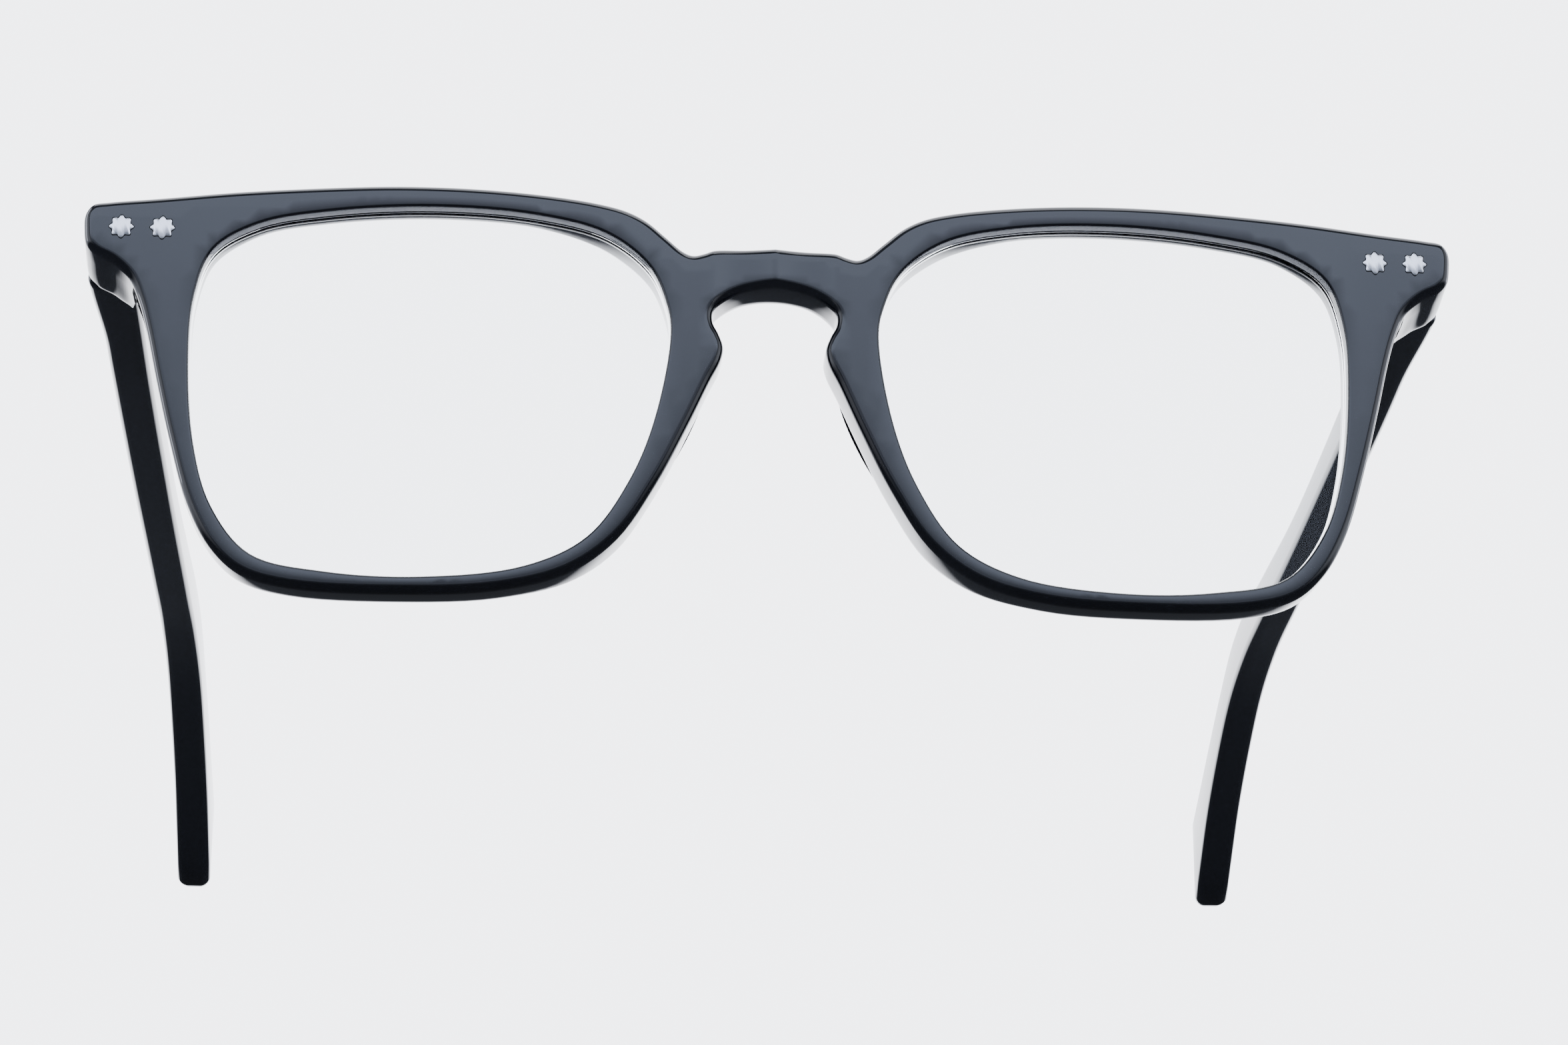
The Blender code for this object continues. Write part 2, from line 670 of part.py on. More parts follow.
def temple_section(top, low, inner, outer, radius, inset):
    """Rounded rectangle across a temple, as (x, height) pairs."""
    x0 = inner + inset
    x1 = outer - inset
    z0 = low + inset
    z1 = top - inset
    r = min(radius, (x1 - x0) * 0.48, (z1 - z0) * 0.48)
    points = []
    corners = ((x1 - r, z1 - r, 0.0), (x0 + r, z1 - r, 0.25), (x0 + r, z0 + r, 0.5), (x1 - r, z0 + r, 0.75))
    for x, z, turn in corners:
        for i in range(5):
            a = math.tau * (turn + 0.25 * i / 4.0)
            points.append((x + r * math.cos(a), z + r * math.sin(a)))
    return points


def temple(side, look):
    bm = bmesh.new()
    stretch = TEMPLE_LENGTH / DRAWN_TEMPLE_LENGTH
    rings = []
    inner = temple_inner_x()
    stations = [0.0, 0.35, 1.5, 4.0, 8.0, 12.0, 18.0, 26.0, 34.0, 42.0, 50.0, 58.0, 66.0, 74.0, 80.0, 86.0]
    stations += [90.0, 94.0, 97.5, 101.0, 104.5, 108.0, 112.0, 116.0, 120.0, 124.0, 128.0, 131.5]
    for back in stations:
        flare = 0.7 * (1.0 - smoothstep(0.0, 14.0, back))
        outer = inner + TEMPLE_THICKNESS + flare
        top = along(TEMPLE_TOP, back)
        low = along(TEMPLE_LOW, back)
        inset = 0.15 if back == 0.0 else 0.0
        section = temple_section(top, low, inner, outer, 1.25, inset)
        fade = max(0.0, 1.0 - back / 8.0)
        layer = []
        for x, z in section:
            start = (MITRE_DEPTH + MITRE_GAP - HINGE_DEPTH - z * math.sin(TEMPLE_TILT)) / math.cos(TEMPLE_TILT)
            layer.append(bm.verts.new(Vector((side * x, back * stretch + start * fade, z)) * MM))
        rings.append(layer)
    top = along(TEMPLE_TOP, DRAWN_TEMPLE_REACH)
    low = along(TEMPLE_LOW, DRAWN_TEMPLE_REACH)
    for step in (0.3, 0.55, 0.75, 0.9, 1.0):
        inset = TIP_RADIUS * (1.0 - math.sqrt(1.0 - step * step * 0.98))
        section = temple_section(top, low, inner, inner + TEMPLE_THICKNESS, 1.25, inset)
        layer = []
        for x, z in section:
            reach = step * (TIP_REACH + TIP_SLANT * (top - z) / (top - low))
            back = DRAWN_TEMPLE_REACH * stretch + reach
            layer.append(bm.verts.new(Vector((side * x, back, z)) * MM))
        rings.append(layer)
    bridge_rings(bm, rings, False)
    bm.faces.new(rings[0][::-1])
    bm.faces.new(rings[-1])
    made = finish(bm, side_name(side, "temple"), look, hinge_matrix(side), 40.0)
    recess = solid(plate_outline(0.15) + [(-1.5, 1.8), (-1.5, -1.8)], inner - 1.0, inner + 0.85, "X")
    holes = [solid(circle(b, 0.0, 0.65), inner - 1.0, inner + 2.6, "X") for b in TEMPLE_RIVETS]
    for tool in [recess] + holes:
        if side < 0:
            flip_x(tool)
        tool.matrix_world = hinge_matrix(side)
        combine(made, tool, "DIFFERENCE")
    return resharpen(made, 40.0)


def nose_pad(side, look):
    """Half-round pad behind the nose edge of a rim."""
    bm = bmesh.new()
    rings = []
    for step in range(6):
        a = math.pi / 2.0 * step / 6.0
        layer = []
        for i in range(28):
            turn = math.tau * i / 28
            x = 1.75 * math.cos(turn) * math.cos(a)
            z = 6.6 * math.sin(turn) * math.cos(a)
            y = BRIDGE_DEPTH + 0.1 + PAD_HEIGHT * math.sin(a)
            lean = 10.2 - 0.47 * z + 0.16 * (y - BRIDGE_DEPTH)
            wide, height = fit(lean + x, z - 9.0)
            layer.append(bm.verts.new(world(side * wide, y, height)))
        rings.append(layer)
    bridge_rings(bm, rings, False)
    bm.faces.new(rings[0][::-1])
    bm.faces.new(rings[-1])
    return finish(bm, side_name(side, "nose_pad"), look)


def keep_placement(made, parent):
    made.parent = parent
    made.matrix_parent_inverse = parent.matrix_world.inverted()


def build():
    clear_scene()
    acetate = material("black_acetate", (0.006, 0.007, 0.010), roughness=0.08)
    clear = material("clear_lens", (0.95, 0.97, 0.98), roughness=0.02, transmission=1.0)
    silver = material("nickel_silver", (0.62, 0.60, 0.56), metallic=1.0, roughness=0.22)
    steel = material("polished_steel", (0.72, 0.72, 0.74), metallic=1.0, roughness=0.12)
    front = front_frame(acetate)
    for side in (1, -1):
        fixed = [lens(side, clear), nose_pad(side, acetate), front_leaf(side, silver)]
        fixed += [front_rivet(side, RIVET_X[0], "front_rivet_inner", steel)]
        fixed += [front_rivet(side, RIVET_X[1], "front_rivet_outer", steel)]
        fixed += [hinge_screw(side, steel)]
        arm = temple(side, acetate)
        moving = [temple_leaf(side, silver)]
        moving += [temple_rivet(side, TEMPLE_RIVETS[0], "temple_rivet_fore", steel)]
        moving += [temple_rivet(side, TEMPLE_RIVETS[1], "temple_rivet_aft", steel)]
        bpy.context.view_layer.update()
        for piece in fixed:
            keep_placement(piece, front)
        for piece in moving:
            keep_placement(piece, arm)
        keep_placement(arm, front)


build()
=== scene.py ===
"""Black acetate eyeglasses on a pale studio floor, laid out as an add-on with one operator per piece."""
import math

import bmesh
import bpy
from bpy.props import FloatProperty, FloatVectorProperty, IntProperty, PointerProperty
from bpy.types import Operator, Panel, PropertyGroup
from mathutils import Matrix, Vector
from mathutils.geometry import delaunay_2d_cdt

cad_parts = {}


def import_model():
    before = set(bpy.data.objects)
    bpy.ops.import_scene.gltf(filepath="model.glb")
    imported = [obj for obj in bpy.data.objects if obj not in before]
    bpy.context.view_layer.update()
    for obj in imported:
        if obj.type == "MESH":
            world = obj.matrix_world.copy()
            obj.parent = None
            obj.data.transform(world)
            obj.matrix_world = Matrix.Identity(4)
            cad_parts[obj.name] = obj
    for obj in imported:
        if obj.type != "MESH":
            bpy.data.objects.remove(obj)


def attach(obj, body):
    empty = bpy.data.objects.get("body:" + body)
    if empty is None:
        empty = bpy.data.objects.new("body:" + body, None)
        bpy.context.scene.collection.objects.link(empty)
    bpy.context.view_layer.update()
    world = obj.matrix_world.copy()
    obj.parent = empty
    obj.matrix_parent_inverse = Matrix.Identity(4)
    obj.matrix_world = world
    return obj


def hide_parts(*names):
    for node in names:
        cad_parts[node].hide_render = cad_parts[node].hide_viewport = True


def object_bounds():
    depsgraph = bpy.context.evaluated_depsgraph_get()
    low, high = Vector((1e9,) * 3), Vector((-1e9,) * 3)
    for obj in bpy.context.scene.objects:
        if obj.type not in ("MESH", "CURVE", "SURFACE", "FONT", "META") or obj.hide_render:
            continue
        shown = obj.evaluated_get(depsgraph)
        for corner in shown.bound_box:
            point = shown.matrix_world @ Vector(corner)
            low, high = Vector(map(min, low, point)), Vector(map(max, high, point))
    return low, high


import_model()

bl_info = {
    "name": "Keyhole eyeglasses",
    "version": (1, 0, 0),
    "blender": (4, 5, 0),
    "location": "View3D > Sidebar > Eyeglasses",
    "description": "Builds a pair of black acetate eyeglasses with folding temples",
    "category": "Object",
}

CAD_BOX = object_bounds()
MM = 0.001
FRONT = "front"
ARM = {1: "left_temple_arm", -1: "right_temple_arm"}

# Sizes of the front, in millimetres
RIM_DEPTH = 4.1
BRIDGE_DEPTH = 6.4
FACE_SETBACK = 2.3
FLOOR_HEIGHT = 27.35
LENS_CLEARANCE = 0.12
TEMPLE_THICKNESS = 4.2
TEMPLE_REACH = 131.5
TEMPLE_TILT = math.radians(4.71)
MITRE_GAP = 0.15
KNUCKLE_RADIUS = 1.3
LEAF_THICKNESS = 1.0
SCREW_RADIUS = 0.45
RIVET_SHANK_RADIUS = 0.55
PAD_HEIGHT = 4.1

# Half outline of the front, from the top of the bridge round to the crown of the keyhole
BROW = [(0, 9.6), (3, 9.5), (6, 9.3), (7.3, 8.85), (8.3, 8.65), (9.3, 9.05), (11, 10.5), (13, 12.2)]
TOP = [(15, 13.25), (18, 14.05), (23, 14.8), (30, 15.4), (38, 15.6), (47, 15.3), (56, 14.75), (63, 14.0)]
ENDPIECE = [(67.0, 13.55), (68.7, 13.2), (69.4, 12.2), (69.45, 10.6), (69.15, 8.95), (68.2, 7.95)]
SIDE = [(66.4, 7.0), (64.7, 5.4), (63.6, 3.0), (62.7, 0), (61.5, -5.1), (59.9, -11.4), (57.8, -18.2)]
FOOT = [(55.4, -22.6), (52.3, -25.4), (47.5, -26.8), (37, -27.35), (27, -26.85), (20.2, -25.0)]
NOSE = [(15.4, -21.4), (11.6, -15.6), (8.6, -9.5), (6.5, -4.8), (5.4, -2.5), (5.15, -1.1)]
KEYHOLE = [(5.6, 0.3), (6.2, 1.5), (6.2, 2.6), (5.3, 3.7), (3.6, 4.75), (1.8, 5.25), (0, 5.4)]
HALF_OUTLINE = BROW + TOP + ENDPIECE + SIDE + FOOT + NOSE + KEYHOLE

# Lens opening of the +X side
OPENING_TOP = [(10.45, 0.4), (11.0, 3.6), (12.7, 7.2), (17.0, 10.6), (24, 12.45), (34.4, 13.2)]
OPENING_OUT = [(45, 12.6), (52.0, 11.25), (56.4, 8.5), (58.1, 3.6), (58.35, -3.0), (57.4, -12.1)]
OPENING_LOW = [(55.3, -18.6), (51.3, -23.4), (44.0, -25.15), (34.4, -25.6), (24.4, -24.35)]
OPENING_NOSE = [(18.4, -21.3), (14.4, -15.5), (11.9, -8.8)]
OPENING = OPENING_TOP + OPENING_OUT + OPENING_LOW + OPENING_NOSE

# Upper and lower edge of a temple against the distance behind the hinge
TEMPLE_TOP = [(0, 2.9), (7, 2.2), (20, 1.0), (39, -0.3), (56, -1.0), (75, -0.6), (88, -0.3),
              (98.7, -1.6), (107.5, -4.5), (117, -8.2), (125, -11.5), (131.5, -14.1)]
TEMPLE_LOW = [(0, -2.65), (7, -3.2), (20, -4.3), (50, -5.7), (75, -6.3), (90, -6.9),
              (101, -8.9), (111, -12.9), (120, -17.7), (126, -22.0), (131.5, -26.2)]
TIP_REACH = 1.1
TIP_SLANT = 2.5
TIP_RADIUS = 1.5

# Hinge placement, measured on the front
HINGE_X = 62.9
HINGE_HEIGHT = 9.6
HINGE_DEPTH = 10.4
ENDPIECE_INNER_X = 64.65
POCKET_OUTER_X = 67.3
LEAF_SEAT_DEPTH = 7.1
MITRE_DEPTH = 10.1
ENDPIECE_DROP = 0.15
ENDPIECE_FLARE = 0.05
RIVET_X = (61.6, 65.7)
RIVET_HEIGHT = 10.7
CAP_SPLIT = 2.9
ORIGIN_DEPTH = 71.37
TEMPLE_RIVETS = (3.1, 6.1)

# Camera: below and beside the bridge, in degrees, then metres and millimetres of sensor
CAMERA_ELEVATION = -20.0
CAMERA_TURN = 3.5
CAMERA_ROLL = 0.35
CAMERA_AIM = (0.001, 0.0, -0.0195)
VIEW_WIDTH = 0.157
SENSOR_WIDTH = 36.0


def srgb(code):
    """Turn an sRGB hex value into linear red, green and blue."""
    values = [int(code[i:i + 2], 16) / 255.0 for i in (1, 3, 5)]
    return tuple(v / 12.92 if v <= 0.04045 else ((v + 0.055) / 1.055) ** 2.4 for v in values)


class EyeglassSizes(PropertyGroup):
    face_edge: FloatProperty(
        name="Face edge", description="Radius of the outer front edge, in millimetres",
        default=0.9, min=0.2, max=1.2)
    back_edge: FloatProperty(
        name="Back edge", description="Radius of the outer back edge, in millimetres",
        default=0.7, min=0.2, max=1.0)
    opening_edge: FloatProperty(
        name="Opening edge", description="Radius round each lens opening, in millimetres",
        default=0.3, min=0.1, max=0.5)
    scoop_depth: FloatProperty(
        name="Scoop depth", description="Depth of the two hollows in the bridge, in millimetres",
        default=0.45, min=0.0, max=1.2)
    groove_depth: FloatProperty(
        name="Groove depth", description="Depth of the lens groove, in millimetres",
        default=0.6, min=0.3, max=0.8)
    lens_thickness: FloatProperty(
        name="Lens thickness", description="Thickness of the clear lenses, in millimetres",
        default=1.1, min=0.8, max=1.1)
    rivet_head: FloatProperty(
        name="Rivet head", description="Mean radius of a corner rivet, in millimetres",
        default=1.12, min=0.9, max=1.2)
    rivet_lobe: FloatProperty(
        name="Rivet lobe", description="Depth of the lobes of a corner rivet, in millimetres",
        default=0.13, min=0.0, max=0.2)
    lobe_count: IntProperty(
        name="Rivet lobes", description="Number of lobes round a corner rivet",
        default=8, min=5, max=12)
    temple_edge: FloatProperty(
        name="Temple edge", description="Radius of the long edges of a temple, in millimetres",
        default=1.25, min=0.6, max=1.6)


class EyeglassFinish(PropertyGroup):
    acetate: FloatVectorProperty(
        name="Acetate", description="Colour of the front and temples",
        subtype="COLOR", default=srgb("#08090c"), size=3, min=0.0, max=1.0)
    lens: FloatVectorProperty(
        name="Lens", description="Tint of the clear lenses",
        subtype="COLOR", default=srgb("#f8fafb"), size=3, min=0.0, max=1.0)
    leaf: FloatVectorProperty(
        name="Hinge leaf", description="Colour of the nickel silver leaves",
        subtype="COLOR", default=srgb("#c9c3b8"), size=3, min=0.0, max=1.0)
    rivet: FloatVectorProperty(
        name="Rivet", description="Colour of the polished rivets and screws",
        subtype="COLOR", default=srgb("#dcdcdf"), size=3, min=0.0, max=1.0)


class EyeglassStage(PropertyGroup):
    floor_size: FloatProperty(
        name="Floor", description="Side of the floor",
        default=6.0, min=1.0, unit="LENGTH")
    distance: FloatProperty(
        name="Distance", description="Distance from the camera to the bridge",
        default=0.4, min=0.2, unit="LENGTH")
    key_power: FloatProperty(
        name="Front softbox", description="Power of the large softbox in front, in watts",
        default=9.0, min=0.0)
    top_power: FloatProperty(
        name="Top softbox", description="Power of the softbox overhead, in watts",
        default=16.0, min=0.0)


def smoothstep(low, high, value):
    t = min(1.0, max(0.0, (value - low) / (high - low)))
    return t * t * (3.0 - 2.0 * t)


def sizes():
    return bpy.context.scene.eyeglass_sizes


def finishes():
    return bpy.context.scene.eyeglass_finish


# ---- materials -------------------------------------------------------------------------------

def node(tree, kind, settings=None, links=None):
    """Add one node, set its properties and sockets, and link its inputs."""
    made = tree.nodes.new(kind)
    for key, value in (settings or {}).items():
        if key in made.inputs:
            made.inputs[key].default_value = value
        else:
            setattr(made, key, value)
    for key, source in (links or {}).items():
        tree.links.new(source, made.inputs[key])
    return made


def new_material(name):
    made = bpy.data.materials.new(name)
    made.use_nodes = True
    made.node_tree.nodes.clear()
    return made, made.node_tree


def close_material(tree, shader):
    node(tree, "ShaderNodeOutputMaterial", links={"Surface": shader.outputs[0]})


def polished_acetate(name, colour, roughness):
    """Cellulose acetate, tumbled and buffed: a deep gloss, faintly wavy, with soft hairline haze."""
    made, tree = new_material(name)
    place_at = node(tree, "ShaderNodeTexCoord")
    # Buffing leaves waves about 9 mm long
    wave = node(tree, "ShaderNodeTexNoise", {"Scale": 110.0, "Detail": 1.0, "Roughness": 0.4},
                {"Vector": place_at.outputs["Object"]})
    # Handling haze, patches about 4 mm across
    haze = node(tree, "ShaderNodeTexNoise", {"Scale": 240.0, "Detail": 4.0, "Roughness": 0.6},
                {"Vector": place_at.outputs["Object"]})
    spread = node(tree, "ShaderNodeMapRange",
                  {"From Min": 0.35, "From Max": 0.75, "To Min": roughness, "To Max": roughness + 0.05},
                  {"Value": haze.outputs["Fac"]})
    # Specks of dust about 0.15 mm across, drawn a little coarse so that they show
    speck = node(tree, "ShaderNodeTexVoronoi", {"Scale": 1500.0}, {"Vector": place_at.outputs["Object"]})
    dust = node(tree, "ShaderNodeMapRange", {"From Min": 0.04, "From Max": 0.07, "To Min": 1.0, "To Max": 0.0},
                {"Value": speck.outputs["Distance"]})
    sparse = node(tree, "ShaderNodeMapRange",
                  {"From Min": 0.62, "From Max": 0.7, "To Min": 0.0, "To Max": 0.08},
                  {"Value": haze.outputs["Fac"]})
    amount = node(tree, "ShaderNodeMath", {"operation": "MULTIPLY"},
                  {0: dust.outputs["Result"], 1: sparse.outputs["Result"]})
    tone = node(tree, "ShaderNodeMix", {"data_type": "RGBA"}, {"Factor": amount.outputs[0]})
    tone.inputs[6].default_value = (*colour, 1.0)
    tone.inputs[7].default_value = (0.25, 0.25, 0.26, 1.0)
    bump = node(tree, "ShaderNodeBump", {"Strength": 0.06, "Distance": 0.0004}, {"Height": wave.outputs["Fac"]})
    shader = node(tree, "ShaderNodeBsdfPrincipled", {"IOR": 1.49, "Coat Weight": 0.15, "Coat Roughness": 0.03},
                  {"Base Color": tone.outputs[2], "Roughness": spread.outputs["Result"],
                   "Normal": bump.outputs["Normal"]})
    close_material(tree, shader)
    return made


def clear_plastic(name, colour):
    """Stamped acrylic sheet: water-clear, with the soft ripple of a thin moulded lens."""
    made, tree = new_material(name)
    place_at = node(tree, "ShaderNodeTexCoord")
    # Ripple about 25 mm long
    ripple = node(tree, "ShaderNodeTexNoise", {"Scale": 40.0, "Detail": 0.0},
                  {"Vector": place_at.outputs["Object"]})
    smear = node(tree, "ShaderNodeTexNoise", {"Scale": 160.0, "Detail": 3.0},
                 {"Vector": place_at.outputs["Object"]})
    spread = node(tree, "ShaderNodeMapRange", {"From Min": 0.5, "From Max": 0.8, "To Min": 0.0, "To Max": 0.03},
                  {"Value": smear.outputs["Fac"]})
    bump = node(tree, "ShaderNodeBump", {"Strength": 0.03, "Distance": 0.0003},
                {"Height": ripple.outputs["Fac"]})
    # Acrylic is 1.49; the lower value stands for its anti-glare coat, which leaves little surface reflection
    shader = node(tree, "ShaderNodeBsdfPrincipled",
                  {"Base Color": (*colour, 1.0), "IOR": 1.18, "Transmission Weight": 1.0},
                  {"Roughness": spread.outputs["Result"], "Normal": bump.outputs["Normal"]})
    close_material(tree, shader)
    return made


def nickel_silver(name, colour):
    """Stamped and barrelled nickel silver: warm grey, softly brushed, duller in patches."""
    made, tree = new_material(name)
    place_at = node(tree, "ShaderNodeTexCoord")
    stretch = node(tree, "ShaderNodeMapping", {"Scale": (1.0, 0.15, 1.0)},
                   {"Vector": place_at.outputs["Object"]})
    # Brush lines about 0.15 mm apart
    brush = node(tree, "ShaderNodeTexNoise", {"Scale": 6500.0, "Detail": 2.0}, {"Vector": stretch.outputs[0]})
    patch = node(tree, "ShaderNodeTexNoise", {"Scale": 700.0, "Detail": 3.0},
                 {"Vector": place_at.outputs["Object"]})
    tone = node(tree, "ShaderNodeMix", {"data_type": "RGBA"}, {"Factor": patch.outputs["Fac"]})
    tone.inputs[6].default_value = (*[c * 0.72 for c in colour], 1.0)
    tone.inputs[7].default_value = (*colour, 1.0)
    spread = node(tree, "ShaderNodeMapRange", {"To Min": 0.18, "To Max": 0.38}, {"Value": patch.outputs["Fac"]})
    bump = node(tree, "ShaderNodeBump", {"Strength": 0.12, "Distance": 0.00004},
                {"Height": brush.outputs["Fac"]})
    shader = node(tree, "ShaderNodeBsdfPrincipled", {"Metallic": 1.0},
                  {"Base Color": tone.outputs[2], "Roughness": spread.outputs["Result"],
                   "Normal": bump.outputs["Normal"]})
    close_material(tree, shader)
    return made


def polished_steel(name, colour):
    """Turned stainless steel, buffed flush: near mirror with faint circular wear."""
    made, tree = new_material(name)
    place_at = node(tree, "ShaderNodeTexCoord")
    # Fine wear about 0.3 mm across
    wear = node(tree, "ShaderNodeTexNoise", {"Scale": 3200.0, "Detail": 3.0},
                {"Vector": place_at.outputs["Object"]})
    spread = node(tree, "ShaderNodeMapRange", {"To Min": 0.12, "To Max": 0.22}, {"Value": wear.outputs["Fac"]})
    bump = node(tree, "ShaderNodeBump", {"Strength": 0.03, "Distance": 0.00002},
                {"Height": wear.outputs["Fac"]})
    shader = node(tree, "ShaderNodeBsdfPrincipled", {"Base Color": (*colour, 1.0), "Metallic": 1.0},
                  {"Roughness": spread.outputs["Result"], "Normal": bump.outputs["Normal"]})
    close_material(tree, shader)
    return made


def look(name):
    """One shared material of each kind, made the first time it is asked for."""
    if name in bpy.data.materials:
        return bpy.data.materials[name]
    chosen = finishes()
    if name == "polished black acetate":
        return polished_acetate(name, tuple(chosen.acetate), 0.045)
    if name == "clear acrylic":
        return clear_plastic(name, tuple(chosen.lens))
    if name == "brushed nickel silver":
        return nickel_silver(name, tuple(chosen.leaf))
    return polished_steel(name, tuple(chosen.rivet))


# ---- shapes ----------------------------------------------------------------------------------

def catmull(p0, p1, p2, p3, t):
    """Centripetal Catmull-Rom point between p1 and p2."""
    knots = [0.0]
    for a, b in ((p0, p1), (p1, p2), (p2, p3)):
        knots.append(knots[-1] + max(1e-6, (b - a).length) ** 0.5)
    k0, k1, k2, k3 = knots
    s = k1 + t * (k2 - k1)
    a1 = p0 * ((k1 - s) / (k1 - k0)) + p1 * ((s - k0) / (k1 - k0))
    a2 = p1 * ((k2 - s) / (k2 - k1)) + p2 * ((s - k1) / (k2 - k1))
    a3 = p2 * ((k3 - s) / (k3 - k2)) + p3 * ((s - k2) / (k3 - k2))
    b1 = a1 * ((k2 - s) / (k2 - k0)) + a2 * ((s - k0) / (k2 - k0))
    b2 = a2 * ((k3 - s) / (k3 - k1)) + a3 * ((s - k1) / (k3 - k1))
    return b1 * ((k2 - s) / (k2 - k1)) + b2 * ((s - k1) / (k2 - k1))


def closed_spline(points, steps):
    nodes = [Vector(p) for p in points]
    count = len(nodes)
    curve = []
    for i in range(count):
        around = [nodes[(i + k) % count] for k in (-1, 0, 1, 2)]
        for step in range(steps):
            curve.append(catmull(*around, step / steps))
    return curve


def split_at(points, value):
    """Add a point wherever the closed outline crosses |x| = value."""
    result = []
    for i, p in enumerate(points):
        q = points[(i + 1) % len(points)]
        result.append(p)
        a = abs(p.x) - value
        b = abs(q.x) - value
        if a * b < 0.0 and abs(a) > 0.05 and abs(b) > 0.05:
            result.append(p.lerp(q, a / (a - b)))
    return result


def normals_of(points):
    """Unit normals to the left of travel, eased over the neighbouring points."""
    count = len(points)
    raw = []
    for i in range(count):
        d = points[(i + 1) % count] - points[i - 1]
        raw.append(Vector((-d.y, d.x)).normalized())
    return [(raw[i - 1] + raw[i] * 2.0 + raw[(i + 1) % count]).normalized() for i in range(count)]


def inside(point, loop):
    hit = False
    for i, a in enumerate(loop):
        b = loop[i - 1]
        if (a.y > point.y) != (b.y > point.y):
            if point.x < (b.x - a.x) * (point.y - a.y) / (b.y - a.y) + a.x:
                hit = not hit
    return hit


def face_depth(x):
    """Depth of the gently bowed front face; the endpieces are flat."""
    u = abs(x)
    if u <= 56.0:
        return FACE_SETBACK * (u / 56.0) ** 2 if u > 0.0 else 0.0
    t = min(6.0, u - 56.0)
    return FACE_SETBACK + FACE_SETBACK * 2.0 / 56.0 * (t - t * t / 12.0)


def back_depth(x):
    """Depth of the back face: deep bridge, slim rims, flat hinge seat, mitre face."""
    u = abs(x)
    rim = face_depth(x) + RIM_DEPTH
    depth = BRIDGE_DEPTH + (rim - BRIDGE_DEPTH) * smoothstep(14.0, 26.0, u)
    depth += (LEAF_SEAT_DEPTH - depth) * smoothstep(51.0, 58.0, u)
    step = min(1.0, max(0.0, (u - ENDPIECE_INNER_X + 0.5) / 0.5))
    return depth + (MITRE_DEPTH - LEAF_SEAT_DEPTH) * step


def scoop(x, height):
    """Two shallow hollows either side of the ridge down the middle of the bridge."""
    half = 6.3
    t = abs(x) / half
    if t >= 1.0:
        return 0.0
    return sizes().scoop_depth * 4.0 * t * (1.0 - t) * smoothstep(0.5, 3.0, height)


def place(x, height, depth):
    """Map a point of the flat drawing, at a nominal depth, onto the front."""
    face = face_depth(x)
    if depth <= CAP_SPLIT:
        y = face + depth + scoop(x, height) * (1.0 - depth / CAP_SPLIT)
    else:
        share = (depth - CAP_SPLIT) / (RIM_DEPTH - CAP_SPLIT)
        y = face + CAP_SPLIT + share * (back_depth(x) - face - CAP_SPLIT)
    weight = smoothstep(62.0, 66.0, abs(x)) * max(0.0, y - 3.0)
    x += math.copysign(ENDPIECE_FLARE * weight, x)
    return world(x, y, height - ENDPIECE_DROP * weight)


def world(x, y, height):
    return Vector((x, y - ORIGIN_DEPTH, height + FLOOR_HEIGHT)) * MM


def rounding(radius, steps):
    """Inset and depth of each step of a quarter-round edge."""
    pairs = []
    for i in range(steps):
        a = math.pi / 2.0 * i / steps
        pairs.append((radius * (1.0 - math.sin(a)), radius * (1.0 - math.cos(a))))
    return pairs


def ring(bm, points, normals, inset, depth, placer):
    return [bm.verts.new(placer(p.x + n.x * inset, p.y + n.y * inset, depth))
            for p, n in zip(points, normals)]


def bridge_rings(bm, rings, flip):
    for lower, upper in zip(rings, rings[1:]):
        for i in range(len(lower)):
            j = (i + 1) % len(lower)
            quad = (lower[i], lower[j], upper[j], upper[i])
            bm.faces.new(quad[::-1] if flip else quad)


def grid_points(loops, step, extra):
    """Interior points of a sheet bounded by the first loop and pierced by the others."""
    edge = [p for loop in loops for p in loop]
    reach = max(abs(p.x) for p in loops[0])
    rows = []
    across = int(reach / step) + 1
    up = int(28.0 / step) + 1
    for i in range(-across, across + 1):
        for j in range(-up, up + 1):
            rows.append((Vector((i * step, j * step)), 0.45 * step))
    rows += [(Vector(p), 0.3) for p in extra]
    kept = []
    for p, margin in rows:
        if not inside(p, loops[0]) or any(inside(p, hole) for hole in loops[1:]):
            continue
        if min((p - q).length for q in edge) < margin:
            continue
        if margin > 0.4 and any((p - Vector(q)).length < 0.6 for q in extra):
            continue
        kept.append(p)
    return kept


def cap(bm, loops, ring_sets, depth, placer, step, extra, flip):
    """Close a sheet between its outline and its holes with an even triangle mesh."""
    flat = []
    verts = []
    edges = []
    for loop, ring_verts in zip(loops, ring_sets):
        start = len(flat)
        flat += loop
        verts += ring_verts
        edges += [(start + i, start + (i + 1) % len(loop)) for i in range(len(loop))]
    for p in grid_points(loops, step, extra):
        flat.append(p)
        verts.append(bm.verts.new(placer(p.x, p.y, depth)))
    points, _, faces, origin, _, _ = delaunay_2d_cdt(flat, edges, [], 0, 1e-7)
    for face in faces:
        centre = (points[face[0]] + points[face[1]] + points[face[2]]) / 3.0
        if not inside(centre, loops[0]) or any(inside(centre, hole) for hole in loops[1:]):
            continue
        corners = [verts[origin[i][0]] for i in face]
        bm.faces.new(corners[::-1] if flip else corners)


